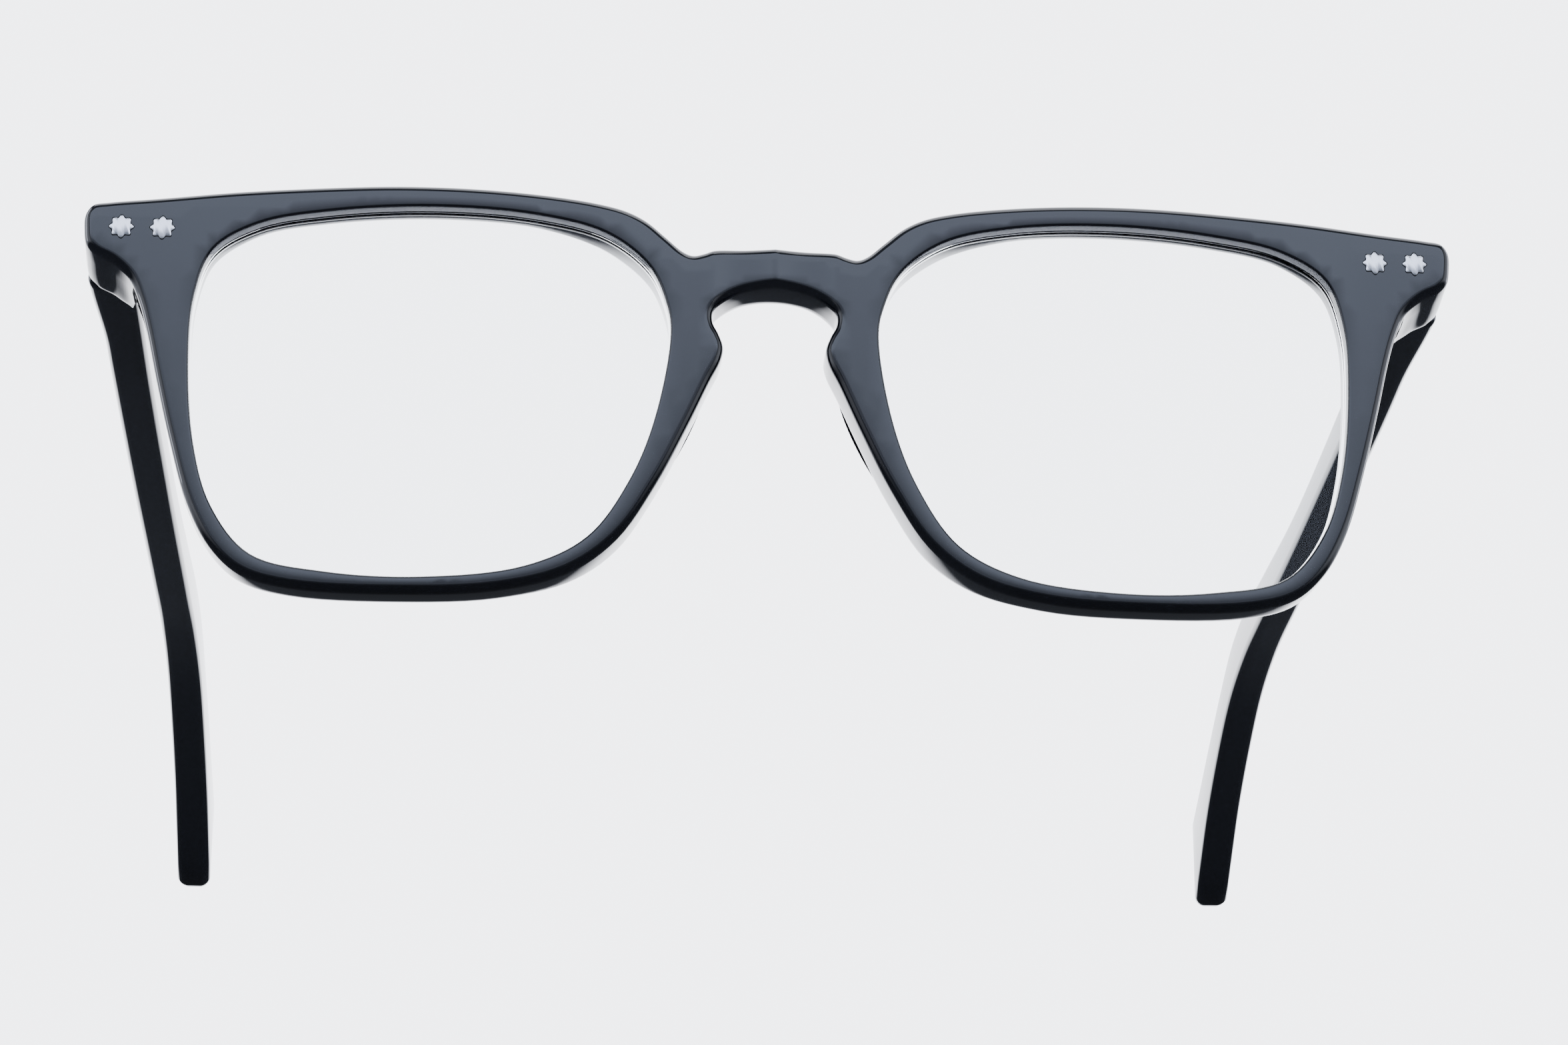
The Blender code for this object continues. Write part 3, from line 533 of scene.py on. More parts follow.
def finish(bm, name, surface, matrix=None, angle=35.0):
    bmesh.ops.remove_doubles(bm, verts=bm.verts, dist=1e-7)
    bmesh.ops.recalc_face_normals(bm, faces=bm.faces)
    mesh = bpy.data.meshes.new(name)
    bm.to_mesh(mesh)
    bm.free()
    mesh.shade_smooth()
    mesh.set_sharp_from_angle(angle=math.radians(angle))
    mesh.materials.append(surface)
    made = bpy.data.objects.new(name, mesh)
    bpy.context.scene.collection.objects.link(made)
    if matrix is not None:
        made.matrix_world = matrix
    return made


def combine(target, tool, operation):
    """Apply one exact Boolean and remove the tool."""
    change = target.modifiers.new("join", "BOOLEAN")
    change.operation = operation
    change.solver = "EXACT"
    change.object = tool
    bpy.context.view_layer.update()
    graph = bpy.context.evaluated_depsgraph_get()
    mesh = bpy.data.meshes.new_from_object(target.evaluated_get(graph))
    target.modifiers.clear()
    target.data = mesh
    bpy.data.objects.remove(tool, do_unlink=True)
    return target


def resharpen(made, angle=35.0):
    made.data.shade_smooth()
    made.data.set_sharp_from_angle(angle=math.radians(angle))
    return made


def soften(made):
    """Break the sharp edges of a metal piece with a small chamfer."""
    edge = made.modifiers.new("broken edge", "BEVEL")
    edge.width = 0.07 * MM
    edge.segments = 2
    edge.limit_method = "ANGLE"
    edge.angle_limit = math.radians(50.0)
    return resharpen(made)


def outline_loops():
    mirror = [(-x, h) for x, h in HALF_OUTLINE[1:-1]][::-1]
    outer = closed_spline(HALF_OUTLINE + mirror, 6)
    outer = split_at(split_at(outer, ENDPIECE_INNER_X), ENDPIECE_INNER_X - 0.5)
    left = opening_loop(1)
    right = opening_loop(-1)
    return outer, left, right


def opening_loop(side):
    points = list(OPENING)
    if side < 0:
        points = [(-x, h) for x, h in points][::-1]
    return closed_spline(points, 8)


def inset_loop(points, normals, inset):
    return [p + n * inset for p, n in zip(points, normals)]


def bridge_grid():
    step = 0.45
    return [(i * step, 2.6 + 0.7 * j) for i in range(-14, 15) for j in range(10)]


def seat_grid():
    lines = (ENDPIECE_INNER_X - 0.5, ENDPIECE_INNER_X)
    return [(side * x, 5.5 + 0.8 * j) for side in (-1, 1) for x in lines for j in range(11)]


def front_frame():
    bm = bmesh.new()
    outer, left, right = outline_loops()
    inward = [-n for n in normals_of(outer)]
    if not inside(outer[0] + inward[0] * 0.1, outer):
        inward = [-n for n in inward]
    s = sizes()
    front = rounding(s.face_edge, 7) + [(0.0, s.face_edge)]
    back = [(i, RIM_DEPTH - d) for i, d in rounding(s.back_edge, 5)][::-1]
    rings = [ring(bm, outer, inward, i, d, place) for i, d in front + [(0.0, CAP_SPLIT)]]
    soft = [1.0 if abs(p.x) < ENDPIECE_INNER_X - 0.6 else 0.18 for p in outer]
    for inset, depth in [(0.0, RIM_DEPTH - s.back_edge)] + back:
        eased = [n * share for n, share in zip(inward, soft)]
        rings.append(ring(bm, outer, eased, inset, depth, place))
    bridge_rings(bm, rings, False)
    front_loops = [inset_loop(outer, inward, s.face_edge)]
    eased = [n * share for n, share in zip(inward, soft)]
    back_loops = [inset_loop(outer, eased, s.back_edge)]
    front_sets = [rings[0]]
    back_sets = [rings[-1]]
    for hole in (left, right):
        grow = outward_normals(hole)
        profile = opening_profile()
        walls = [ring(bm, hole, grow, i, d, place) for i, d in profile]
        bridge_rings(bm, walls, True)
        front_loops.append(inset_loop(hole, grow, profile[0][0]))
        back_loops.append(inset_loop(hole, grow, profile[-1][0]))
        front_sets.append(walls[0])
        back_sets.append(walls[-1])
    cap(bm, front_loops, front_sets, 0.0, place, 1.3, bridge_grid(), False)
    cap(bm, back_loops, back_sets, RIM_DEPTH, place, 1.3, seat_grid(), True)
    made = finish(bm, "acetate_front", look("polished black acetate"))
    for side in (1, -1):
        combine(made, pocket_cutter(side), "DIFFERENCE")
        for x in RIVET_X:
            combine(made, rivet_cutter(side, x), "DIFFERENCE")
    return resharpen(made)


def outward_normals(hole):
    grow = normals_of(hole)
    if inside(hole[0] + grow[0] * 0.1, hole):
        grow = [-n for n in grow]
    return grow


def opening_profile():
    """Inset and depth down the wall of a lens opening, with the groove that holds the lens."""
    r = sizes().opening_edge
    edge = [(r, 0.0), (r * 0.62, r * 0.076), (r * 0.29, r * 0.29), (r * 0.076, r * 0.62), (0.0, r)]
    groove = [(0.0, 1.35), (sizes().groove_depth, 2.0), (0.0, 2.65)]
    back = [(0.0, RIM_DEPTH - r), (r * 0.29, RIM_DEPTH - r * 0.29), (r, RIM_DEPTH)]
    return edge + groove + back


def lens(side):
    bm = bmesh.new()
    hole = opening_loop(side)
    grow = outward_normals(hole)
    half = sizes().lens_thickness / 2.0
    profile = [(-LENS_CLEARANCE, 2.0 - half), (sizes().groove_depth - 0.15, 2.0), (-LENS_CLEARANCE, 2.0 + half)]
    rings = [ring(bm, hole, grow, i, d, lens_point) for i, d in profile]
    bridge_rings(bm, rings, False)
    loop = inset_loop(hole, grow, -LENS_CLEARANCE)
    cap(bm, [loop], [rings[0]], profile[0][1], lens_point, 3.0, [], False)
    cap(bm, [loop], [rings[-1]], profile[-1][1], lens_point, 3.0, [], True)
    return finish(bm, side_name(side, "clear_lens"), look("clear acrylic"))


def lens_point(x, height, depth):
    return world(x, face_depth(x) + depth, height)


def side_name(side, name):
    return ("left_" if side > 0 else "right_") + name


def prism(bm, outline, low, high, axis):
    """Extrude a closed 2-D outline along X, Y or Z between two levels."""
    order = {"X": lambda a, b, c: (c, a, b), "Y": lambda a, b, c: (a, c, b), "Z": lambda a, b, c: (a, b, c)}
    rings = []
    for level in (low, high):
        rings.append([bm.verts.new(Vector(order[axis](a, b, level)) * MM) for a, b in outline])
    bridge_rings(bm, rings, False)
    bm.faces.new(rings[0][::-1])
    bm.faces.new(rings[1])


def circle(x, y, radius, count=48):
    return [(x + radius * math.cos(math.tau * i / count), y + radius * math.sin(math.tau * i / count))
            for i in range(count)]


def rectangle(x0, x1, y0, y1):
    return [(x0, y0), (x1, y0), (x1, y1), (x0, y1)]


def solid(outline, low, high, axis, name="tool", matrix=None):
    bm = bmesh.new()
    prism(bm, outline, low, high, axis)
    bmesh.ops.recalc_face_normals(bm, faces=bm.faces)
    return finish(bm, name, look("brushed nickel silver"), matrix, 30.0)


def hinge_matrix(side):
    spot = world(side * HINGE_X, HINGE_DEPTH, HINGE_HEIGHT)
    return Matrix.Translation(spot) @ Matrix.Rotation(-TEMPLE_TILT, 4, "X")


def flower(radius, count=96):
    points = []
    for i in range(count):
        a = math.tau * i / count
        r = radius + sizes().rivet_lobe * math.cos(sizes().lobe_count * a)
        points.append((r * math.cos(a), r * math.sin(a)))
    return points


def rivet_matrix(side, x):
    spot = world(side * x, 0.0, RIVET_HEIGHT)
    return Matrix.Translation(spot)


def rivet_cutter(side, x):
    face = face_depth(x)
    head = flower(sizes().rivet_head + 0.06)
    hole = circle(0.0, 0.0, RIVET_SHANK_RADIUS + 0.2, 96)
    end = LEAF_SEAT_DEPTH + LEAF_THICKNESS
    levels = [(head, face - 1.0), (head, face + 0.5), (hole, face + 0.5), (hole, end)]
    bm = bmesh.new()
    rings = [[bm.verts.new(Vector((a, y, b)) * MM) for a, b in loop] for loop, y in levels]
    bridge_rings(bm, rings, False)
    bm.faces.new(rings[0][::-1])
    bm.faces.new(rings[-1])
    return finish(bm, "tool", look("brushed nickel silver"), rivet_matrix(side, x))


def front_rivet(side, x, name):
    face = face_depth(x)
    bm = bmesh.new()
    outline = flower(sizes().rivet_head)
    middle = flower(sizes().rivet_head - 0.03)
    inner = flower(sizes().rivet_head - 0.1)
    shank = [Vector(p) for p in circle(0.0, 0.0, RIVET_SHANK_RADIUS, 96)]
    levels = [(inner, face - 0.05), (middle, face - 0.02), (outline, face + 0.05), (outline, face + 0.4)]
    levels += [(shank, face + 0.4), (shank, LEAF_SEAT_DEPTH + 0.05 + LEAF_THICKNESS)]
    rings = [[bm.verts.new(Vector((a, y, b)) * MM) for a, b in loop] for loop, y in levels]
    bridge_rings(bm, rings, False)
    bm.faces.new(rings[0][::-1])
    bm.faces.new(rings[-1])
    return finish(bm, side_name(side, name), look("polished steel"), rivet_matrix(side, x))


def pocket_cutter(side):
    """Slot in the endpiece that takes the outer end of the front leaf."""
    low, high = sorted((side * (ENDPIECE_INNER_X - 0.6), side * POCKET_OUTER_X))
    seat = LEAF_SEAT_DEPTH - ORIGIN_DEPTH
    outline = rectangle(low, high, seat - 0.05, seat + LEAF_THICKNESS + 0.6)
    bottom = HINGE_HEIGHT + FLOOR_HEIGHT - 2.15
    top = HINGE_HEIGHT + FLOOR_HEIGHT + 2.35
    return solid(outline, bottom, top, "Z")


def mirrored(outline, side):
    return [(side * a, b) for a, b in outline]


def leaf_plate_depths():
    low = LEAF_SEAT_DEPTH - HINGE_DEPTH + 0.32
    return low, low + LEAF_THICKNESS


def front_leaf(side):
    """Base plate on the back of the endpiece with two knuckles."""
    matrix = hinge_matrix(side)
    low, high = leaf_plate_depths()
    plate = solid(chamfered(-3.9, 4.1, -1.85, 2.0, 0.5), low, high, "Y", matrix=matrix)
    if side < 0:
        plate = flip_x(plate)
    made = plate
    for centre in (-1.5, 1.5):
        knuckle = solid(circle(0.0, 0.0, KNUCKLE_RADIUS), centre - 0.7, centre + 0.7, "Z", matrix=matrix)
        neck = rectangle(-1.0, 0.6, low + 0.4, -0.5)
        web = solid(mirrored(neck, side), centre - 0.7, centre + 0.7, "Z", matrix=matrix)
        combine(made, knuckle, "UNION")
        combine(made, web, "UNION")
    bore = solid(circle(0.0, 0.0, SCREW_RADIUS + 0.13), -4.0, 4.0, "Z", matrix=matrix)
    combine(made, bore, "DIFFERENCE")
    for x in RIVET_X:
        offset = side * (x - HINGE_X)
        hole = circle(offset, RIVET_HEIGHT - HINGE_HEIGHT, RIVET_SHANK_RADIUS + 0.33)
        combine(made, solid(hole, low - 1.5, high + 0.25, "Y", matrix=matrix), "DIFFERENCE")
    made.name = side_name(side, "riveted_leaf")
    return soften(made)


def chamfered(x0, x1, z0, z1, c):
    return [(x0 + c, z0), (x1 - c, z0), (x1, z0 + c), (x1, z1 - c),
            (x1 - c, z1), (x0 + c, z1), (x0, z1 - c), (x0, z0 + c)]


def flip_x(made):
    mesh = made.data
    mesh.transform(Matrix.Diagonal((-1.0, 1.0, 1.0, 1.0)))
    mesh.flip_normals()
    return made


def plate_outline(grow):
    """Pointed temple plate, drawn as distance behind the hinge against height."""
    half = 1.65 + grow
    return [(0.3 - grow, -half), (6.9 + grow, -half), (8.2 + grow, -0.55 - grow * 0.6),
            (8.2 + grow, 0.55 + grow * 0.6), (6.9 + grow, half), (0.3 - grow, half)]


def temple_inner_x():
    return ENDPIECE_INNER_X + 0.1 - HINGE_X


def temple_leaf(side):
    """Pointed plate let into the temple with one knuckle between the front's two."""
    matrix = hinge_matrix(side)
    inner = temple_inner_x() - 0.35
    made = solid(plate_outline(0.0), inner, inner + LEAF_THICKNESS, "X", matrix=matrix)
    knuckle = solid(circle(0.0, 0.0, KNUCKLE_RADIUS), -0.7, 0.7, "Z", matrix=matrix)
    web = solid(rectangle(0.5, inner + 0.5, 0.0, 1.7), -0.7, 0.7, "Z", matrix=matrix)
    combine(made, knuckle, "UNION")
    combine(made, web, "UNION")
    bore = solid(circle(0.0, 0.0, SCREW_RADIUS + 0.13), -4.0, 4.0, "Z", matrix=matrix)
    combine(made, bore, "DIFFERENCE")
    for back in TEMPLE_RIVETS:
        sink = solid(circle(back, 0.0, 1.05), inner - 0.5, inner + 0.35, "X", matrix=matrix)
        hole = solid(circle(back, 0.0, 0.65), inner - 1.0, inner + 2.0, "X", matrix=matrix)
        combine(made, sink, "DIFFERENCE")
        combine(made, hole, "DIFFERENCE")
    made.name = side_name(side, "pointed_leaf")
    if side < 0:
        flip_x(made)
    return soften(made)


def temple_rivet(side, back, name):
    """Domed rivet in the countersink of the temple plate."""
    bm = bmesh.new()
    inner = temple_inner_x() - 0.35
    profile = [(0.08, inner - 0.34), (0.28, inner - 0.3), (0.42, inner - 0.24), (0.55, inner - 0.16)]
    profile += [(0.68, inner - 0.06), (0.78, inner + 0.05), (0.84, inner + 0.16), (0.85, inner + 0.28)]
    profile += [(0.48, inner + 0.28), (0.48, inner + 2.6)]
    rings = [[bm.verts.new(Vector((x, a, b)) * MM) for a, b in circle(back, 0.0, r, 40)] for r, x in profile]
    bridge_rings(bm, rings, False)
    bm.faces.new(rings[0][::-1])
    bm.faces.new(rings[-1])
    made = finish(bm, side_name(side, name), look("polished steel"), hinge_matrix(side))
    return flip_x(made) if side < 0 else made


def hinge_screw(side):
    """Slotted screw through the three knuckles."""
    bm = bmesh.new()
    profile = [(SCREW_RADIUS, -2.2), (SCREW_RADIUS, 2.3), (0.95, 2.3), (0.95, 2.6), (0.7, 2.85)]
    rings = [[bm.verts.new(Vector((a, b, z)) * MM) for a, b in circle(0.0, 0.0, r, 48)] for r, z in profile]
    bridge_rings(bm, rings, False)
    bm.faces.new(rings[0][::-1])
    bm.faces.new(rings[-1])
    made = finish(bm, side_name(side, "slotted_screw"), look("polished steel"), hinge_matrix(side))
    slot = solid(rectangle(-1.5, 1.5, -0.13, 0.13), 2.62, 3.5, "Z", matrix=hinge_matrix(side))
    return resharpen(combine(made, slot, "DIFFERENCE"))


def along(points, value):
    """Height of a temple edge at a distance behind the hinge."""
    nodes = [Vector(p) for p in points]
    nodes = [nodes[0] * 2.0 - nodes[1]] + nodes + [nodes[-1] * 2.0 - nodes[-2]]
    for i in range(1, len(nodes) - 2):
        if value <= nodes[i + 1].x or i == len(nodes) - 3:
            low, high = 0.0, 1.0
            for _ in range(24):
                mid = (low + high) / 2.0
                if catmull(*nodes[i - 1:i + 3], mid).x < value:
                    low = mid
                else:
                    high = mid
            return catmull(*nodes[i - 1:i + 3], low).y
    return nodes[-2].y


def temple_section(top, low, inner, outer, radius, inset):
    """Rounded rectangle across a temple, as (x, height) pairs."""
    x0 = inner + inset
    x1 = outer - inset
    z0 = low + inset
    z1 = top - inset
    r = min(radius, (x1 - x0) * 0.48, (z1 - z0) * 0.48)
    points = []
    corners = ((x1 - r, z1 - r, 0.0), (x0 + r, z1 - r, 0.25), (x0 + r, z0 + r, 0.5), (x1 - r, z0 + r, 0.75))
    for x, z, turn in corners:
        for i in range(11):
            a = math.tau * (turn + 0.25 * i / 10.0)
            points.append((x + r * math.cos(a), z + r * math.sin(a)))
    return points


def temple(side):
    bm = bmesh.new()
    rings = []
    inner = temple_inner_x()
    stations = [0.0, 0.12, 0.35, 0.8, 1.5, 2.5, 4.0, 6.0] + [8.0 + 1.9 * i for i in range(66)]
    for back in stations:
        flare = 0.7 * (1.0 - smoothstep(0.0, 14.0, back))
        outer = inner + TEMPLE_THICKNESS + flare
        top = along(TEMPLE_TOP, back)
        low = along(TEMPLE_LOW, back)
        inset = max(0.0, 0.15 - back * 0.7)
        section = temple_section(top, low, inner, outer, sizes().temple_edge, inset)
        fade = max(0.0, 1.0 - back / 8.0)
        layer = []
        for x, z in section:
            start = (MITRE_DEPTH + MITRE_GAP - HINGE_DEPTH - z * math.sin(TEMPLE_TILT)) / math.cos(TEMPLE_TILT)
            layer.append(bm.verts.new(Vector((side * x, back + start * fade, z)) * MM))
        rings.append(layer)
    top = along(TEMPLE_TOP, TEMPLE_REACH)
    low = along(TEMPLE_LOW, TEMPLE_REACH)
    for step in (0.0, 0.15, 0.3, 0.43, 0.55, 0.66, 0.75, 0.83, 0.9, 0.95, 0.985, 1.0):
        inset = TIP_RADIUS * (1.0 - math.sqrt(1.0 - step * step * 0.98))
        section = temple_section(top, low, inner, inner + TEMPLE_THICKNESS, sizes().temple_edge, inset)
        layer = []
        for x, z in section:
            reach = step * (TIP_REACH + TIP_SLANT * (top - z) / (top - low))
            back = TEMPLE_REACH + reach
            layer.append(bm.verts.new(Vector((side * x, back, z)) * MM))
        rings.append(layer)
    bridge_rings(bm, rings, False)
    bm.faces.new(rings[0][::-1])
    bm.faces.new(rings[-1])
    made = finish(bm, side_name(side, "temple_shaft"), look("polished black acetate"), hinge_matrix(side), 40.0)
    recess = solid(plate_outline(0.15) + [(-1.5, 1.8), (-1.5, -1.8)], inner - 1.0, inner + 0.85, "X")
    holes = [solid(circle(b, 0.0, 0.65), inner - 1.0, inner + 2.6, "X") for b in TEMPLE_RIVETS]
    for tool in [recess] + holes:
        if side < 0:
            flip_x(tool)
        tool.matrix_world = hinge_matrix(side)
        combine(made, tool, "DIFFERENCE")
    return resharpen(made, 40.0)


def nose_pad(side):
    """Half-round pad behind the nose edge of a rim."""
    bm = bmesh.new()
    rings = []
    for step in range(14):
        a = math.pi / 2.0 * step / 14.0
        layer = []
        for i in range(64):
            turn = math.tau * i / 64
            x = 1.75 * math.cos(turn) * math.cos(a)
            z = 6.6 * math.sin(turn) * math.cos(a)
            y = BRIDGE_DEPTH + 0.1 + PAD_HEIGHT * math.sin(a)
            lean = 10.2 - 0.47 * z + 0.16 * (y - BRIDGE_DEPTH)
            layer.append(bm.verts.new(world(side * (lean + x), y, z - 9.0)))
        rings.append(layer)
    bridge_rings(bm, rings, False)
    bm.faces.new(rings[0][::-1])
    bm.faces.new(rings[-1])
    return finish(bm, side_name(side, "moulded_pad"), look("polished black acetate"))


# ---- operators -------------------------------------------------------------------------------

def settle(made, body, slot, *nodes):
    """Hand a finished piece to its CAD body, and let it stand for its CAD nodes."""
    bpy.context.view_layer.update()
    made.data.transform(made.matrix_world)
    made.matrix_world = Matrix.Identity(4)
    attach(made, body)
    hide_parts(*nodes)


class BuildFront(Operator):
    """Build the acetate front with its lens grooves, scooped bridge and rivet seats"""
    bl_idname = "eyeglasses.front"
    bl_label = "Front"

    def execute(self, context):
        made = front_frame()
        settle(made, FRONT, "black_acetate", "front_frame")
        return {"FINISHED"}


class BuildLenses(Operator):
    """Build the two clear lenses with bevelled rims"""
    bl_idname = "eyeglasses.lenses"
    bl_label = "Lenses"

    def execute(self, context):
        for side in (1, -1):
            settle(lens(side), FRONT, "demo_lens", side_name(side, "lens"))
        return {"FINISHED"}


class BuildNosePads(Operator):
    """Build the two nose pads behind the rims"""
    bl_idname = "eyeglasses.nose_pads"
    bl_label = "Nose pads"

    def execute(self, context):
        for side in (1, -1):
            settle(nose_pad(side), FRONT, "black_acetate", side_name(side, "nose_pad"))
        return {"FINISHED"}


class BuildHinges(Operator):
    """Build both leaves and the screw of each hinge"""
    bl_idname = "eyeglasses.hinges"
    bl_label = "Hinges"

    def execute(self, context):
        for side in (1, -1):
            settle(front_leaf(side), FRONT, "nickel_silver", side_name(side, "front_leaf"))
            settle(temple_leaf(side), ARM[side], "nickel_silver", side_name(side, "temple_leaf"))
            settle(hinge_screw(side), FRONT, "polished_steel", side_name(side, "hinge_screw"))
        return {"FINISHED"}


class BuildRivets(Operator):
    """Build the flower-headed corner rivets and the domed temple rivets"""
    bl_idname = "eyeglasses.rivets"
    bl_label = "Rivets"

    def execute(self, context):
        for side in (1, -1):
            for x, word in zip(RIVET_X, ("front_rivet_inner", "front_rivet_outer")):
                made = front_rivet(side, x, word.replace("front", "flower"))
                settle(made, FRONT, "polished_steel", side_name(side, word))
            for back, word in zip(TEMPLE_RIVETS, ("temple_rivet_fore", "temple_rivet_aft")):
                made = temple_rivet(side, back, word.replace("temple", "domed"))
                settle(made, ARM[side], "polished_steel", side_name(side, word))
        return {"FINISHED"}


class BuildTemples(Operator):
    """Build the two temples with dropped, squared ends"""
    bl_idname = "eyeglasses.temples"
    bl_label = "Temples"

    def execute(self, context):
        for side in (1, -1):
            settle(temple(side), ARM[side], "black_acetate", side_name(side, "temple"))
        return {"FINISHED"}


class BuildStage(Operator):
    """Lay the floor, hang the softboxes and set the camera"""
    bl_idname = "eyeglasses.stage"
    bl_label = "Stage"

    def execute(self, context):
        chosen = context.scene.eyeglass_stage
        studio_world()
        lay_floor(chosen.floor_size)
        hang_softboxes(chosen)
        set_camera(chosen.distance)
        return {"FINISHED"}


def studio_world():
    """Pale, slightly blue surroundings, brighter behind and above than toward the viewer."""
    made = bpy.data.worlds.new("studio")
    made.use_nodes = True
    tree = made.node_tree
    tree.nodes.clear()
    aim = node(tree, "ShaderNodeTexCoord")
    parts = node(tree, "ShaderNodeSeparateXYZ", links={0: aim.outputs["Generated"]})
    rear = node(tree, "ShaderNodeMapRange", {"From Min": 0.45, "From Max": 0.75, "To Min": 0.0, "To Max": 1.0},
                {"Value": parts.outputs["Y"]})
    tone = node(tree, "ShaderNodeMix", {"data_type": "RGBA"}, {"Factor": rear.outputs["Result"]})
    tone.inputs[6].default_value = (*srgb("#40444c"), 1.0)
    tone.inputs[7].default_value = (*srgb("#f6f8ff"), 1.0)
    width = node(tree, "ShaderNodeMath", {"operation": "ABSOLUTE"}, {0: parts.outputs["X"]})
    flank = node(tree, "ShaderNodeMapRange", {"From Min": 0.6, "From Max": 0.9, "To Min": 0.0, "To Max": 1.0},
                 {"Value": width.outputs[0]})
    walls = node(tree, "ShaderNodeMix", {"data_type": "RGBA"},
                 {"Factor": flank.outputs["Result"], 6: tone.outputs[2]})
    walls.inputs[7].default_value = (*srgb("#a4a8b2"), 1.0)
    rise = node(tree, "ShaderNodeMapRange",
                {"From Min": -0.22, "From Max": -0.02, "To Min": 0.0, "To Max": 1.0},
                {"Value": parts.outputs["Z"]})
    whole = node(tree, "ShaderNodeMix", {"data_type": "RGBA"},
                 {"Factor": rise.outputs["Result"], 7: walls.outputs[2]})
    whole.inputs[6].default_value = (*srgb("#26282c"), 1.0)
    sky = node(tree, "ShaderNodeBackground", {"Strength": 5.0}, {"Color": whole.outputs[2]})
    node(tree, "ShaderNodeOutputWorld", links={"Surface": sky.outputs[0]})
    bpy.context.scene.world = made


def floor_finish():
    """Pale matt paper, seen from above only."""
    made, tree = new_material("pale paper")
    shader = node(tree, "ShaderNodeBsdfPrincipled", {"Base Color": (*srgb("#eeeff3"), 1.0), "Roughness": 0.7})
    clear = node(tree, "ShaderNodeBsdfTransparent")
    side = node(tree, "ShaderNodeNewGeometry")
    mixed = node(tree, "ShaderNodeMixShader",
                 links={0: side.outputs["Backfacing"], 1: shader.outputs[0], 2: clear.outputs[0]})
    close_material(tree, mixed)
    return made


def lay_floor(size):
    bm = bmesh.new()
    bmesh.ops.create_grid(bm, x_segments=1, y_segments=1, size=size / 2.0)
    mesh = bpy.data.meshes.new("floor")
    bm.to_mesh(mesh)
    bm.free()
    mesh.materials.append(floor_finish())
    made = bpy.data.objects.new("floor", mesh)
    made.location = (0.0, 0.0, CAD_BOX[0].z - 0.00005)
    # Kept out of the gloss, so that undersides read black as over a dark table
    made.visible_glossy = False
    bpy.context.scene.collection.objects.link(made)


def softbox(name, place_at, aim, width, height, power, colour, dim=1.0):
    data = bpy.data.lights.new(name, "AREA")
    data.shape = "RECTANGLE"
    data.size = width
    data.size_y = height
    data.energy = power
    data.color = srgb(colour)
    if dim < 1.0:
        fade_downward(data, dim)
    made = bpy.data.objects.new(name, data)
    made.location = place_at
    made.rotation_mode = "QUATERNION"
    made.rotation_quaternion = (Vector(aim) - Vector(place_at)).to_track_quat("-Z", "Y")
    bpy.context.scene.collection.objects.link(made)


def fade_downward(data, dim):
    """Dim a softbox toward its lower edge, so that flat gloss darkens from brow to foot."""
    data.use_nodes = True
    tree = data.node_tree
    tree.nodes.clear()
    across = node(tree, "ShaderNodeNewGeometry")
    along = node(tree, "ShaderNodeSeparateXYZ", links={0: across.outputs["Parametric"]})
    glow = node(tree, "ShaderNodeMapRange", {"From Min": 0.2, "From Max": 0.48, "To Min": dim, "To Max": 1.0},
                {"Value": along.outputs["Y"]})
    light = node(tree, "ShaderNodeEmission", links={"Strength": glow.outputs["Result"]})
    node(tree, "ShaderNodeOutputLight", links={"Surface": light.outputs[0]})


def hang_softboxes(chosen):
    softbox("front softbox", (-0.03, -0.76, 0.34), (0.0, -0.07, 0.03), 1.35, 0.62, chosen.key_power, "#d2def8", 0.25)
    softbox("top softbox", (0.1, 0.15, 1.1), (0.0, 0.0, 0.0), 1.2, 1.2, chosen.top_power, "#f6f8ff")
    softbox("left strip", (-0.95, 0.05, 0.45), (0.0, 0.0, 0.03), 0.25, 0.9, 3.5, "#eef2ff")
    softbox("right strip", (0.95, 0.25, 0.45), (0.0, 0.0, 0.03), 0.25, 0.9, 3.5, "#eef2ff")


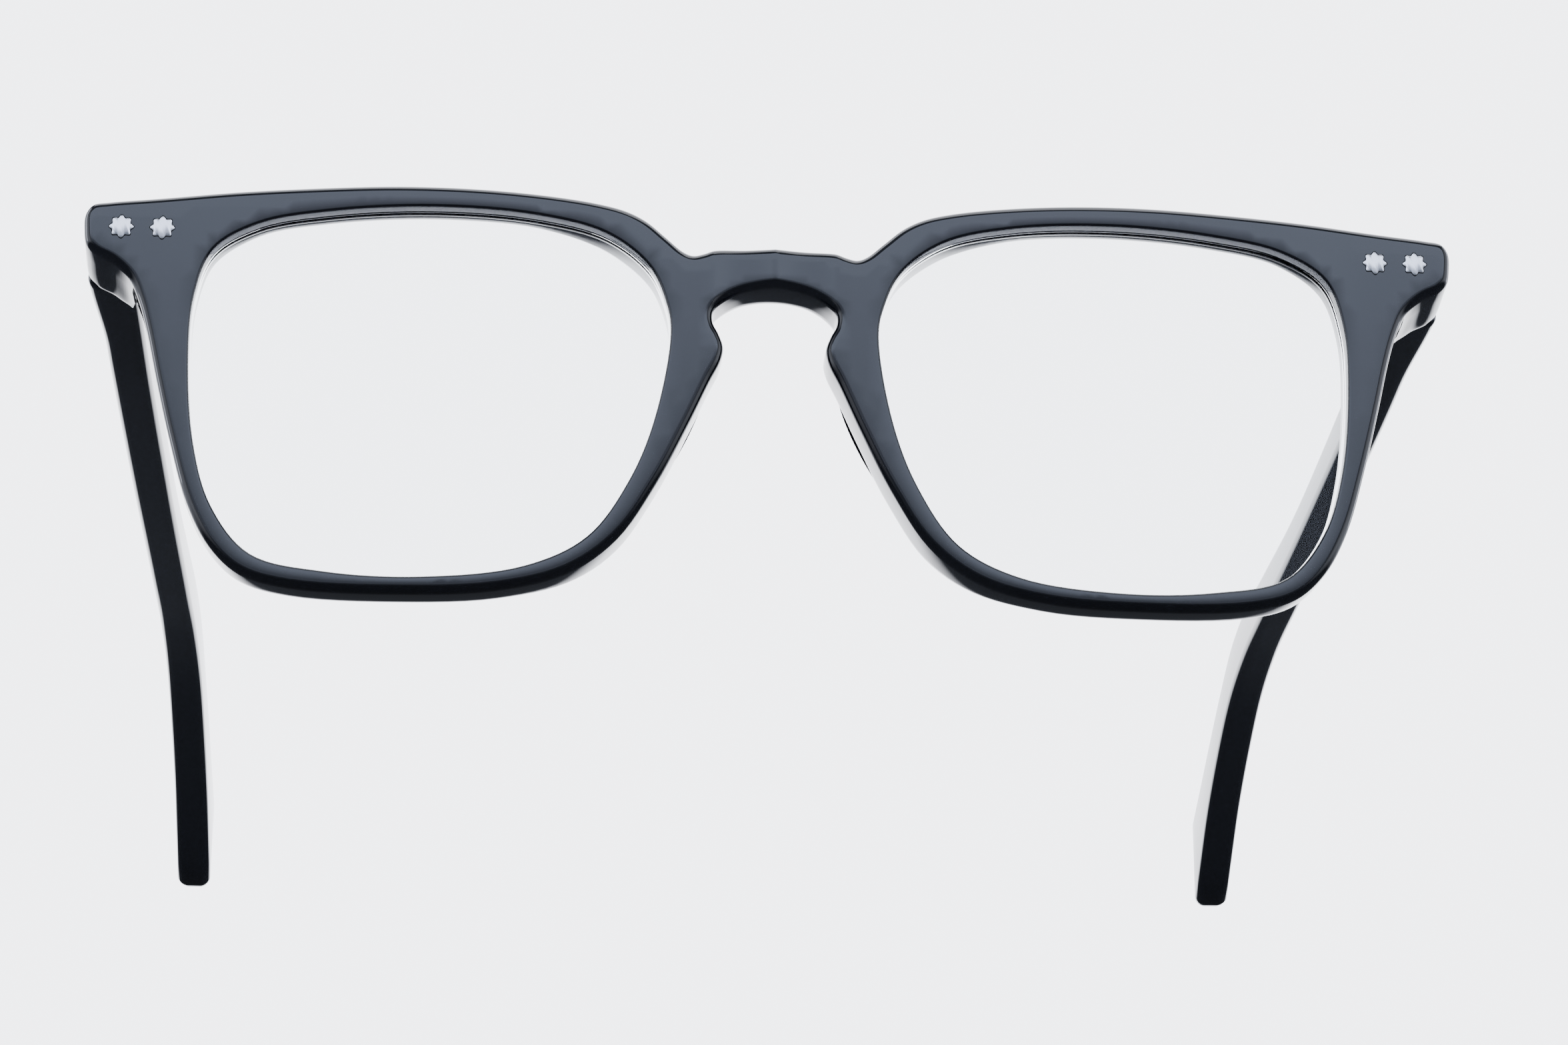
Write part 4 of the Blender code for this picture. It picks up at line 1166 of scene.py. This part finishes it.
def set_camera(distance):
    """Look at the glasses from a little below and a little to the side of the bridge."""
    elevation = math.radians(CAMERA_ELEVATION)
    turn = math.radians(CAMERA_TURN)
    bridge = world(0.0, 0.0, 0.0)
    level = math.cos(elevation)
    away = Vector((-math.sin(turn) * level, -math.cos(turn) * level, math.sin(elevation)))
    data = bpy.data.cameras.new("camera")
    data.sensor_width = SENSOR_WIDTH
    data.lens = SENSOR_WIDTH * distance / VIEW_WIDTH
    data.clip_start = 0.01
    data.clip_end = 50.0
    made = bpy.data.objects.new("camera", data)
    made.rotation_mode = "QUATERNION"
    made.location = bridge + away * distance
    aim = bridge + Vector(CAMERA_AIM)
    facing = (aim - made.location).to_track_quat("-Z", "Y")
    made.rotation_quaternion = facing @ Matrix.Rotation(math.radians(CAMERA_ROLL), 3, "Z").to_quaternion()
    bpy.context.scene.collection.objects.link(made)
    bpy.context.scene.camera = made


class EyeglassPanel(Panel):
    """Lists the sizes, the finishes and the operators"""
    bl_label = "Eyeglasses"
    bl_idname = "VIEW3D_PT_eyeglasses"
    bl_space_type = "VIEW_3D"
    bl_region_type = "UI"
    bl_category = "Eyeglasses"

    def draw(self, context):
        layout = self.layout
        scene = context.scene
        for group in (scene.eyeglass_sizes, scene.eyeglass_finish, scene.eyeglass_stage):
            for name in group.__annotations__:
                layout.prop(group, name)
        for step in STEPS:
            layout.operator(step.bl_idname)


GROUPS = (EyeglassSizes, EyeglassFinish, EyeglassStage)
STEPS = (BuildFront, BuildLenses, BuildNosePads, BuildHinges, BuildRivets, BuildTemples, BuildStage)


def register():
    for item in GROUPS + STEPS + (EyeglassPanel,):
        bpy.utils.register_class(item)
    bpy.types.Scene.eyeglass_sizes = PointerProperty(type=EyeglassSizes)
    bpy.types.Scene.eyeglass_finish = PointerProperty(type=EyeglassFinish)
    bpy.types.Scene.eyeglass_stage = PointerProperty(type=EyeglassStage)


def unregister():
    del bpy.types.Scene.eyeglass_stage
    del bpy.types.Scene.eyeglass_finish
    del bpy.types.Scene.eyeglass_sizes
    for item in reversed(GROUPS + STEPS + (EyeglassPanel,)):
        bpy.utils.unregister_class(item)


def main():
    register()
    for step in STEPS:
        group, word = step.bl_idname.split(".")
        getattr(getattr(bpy.ops, group), word)()


if __name__ == "__main__":
    main()
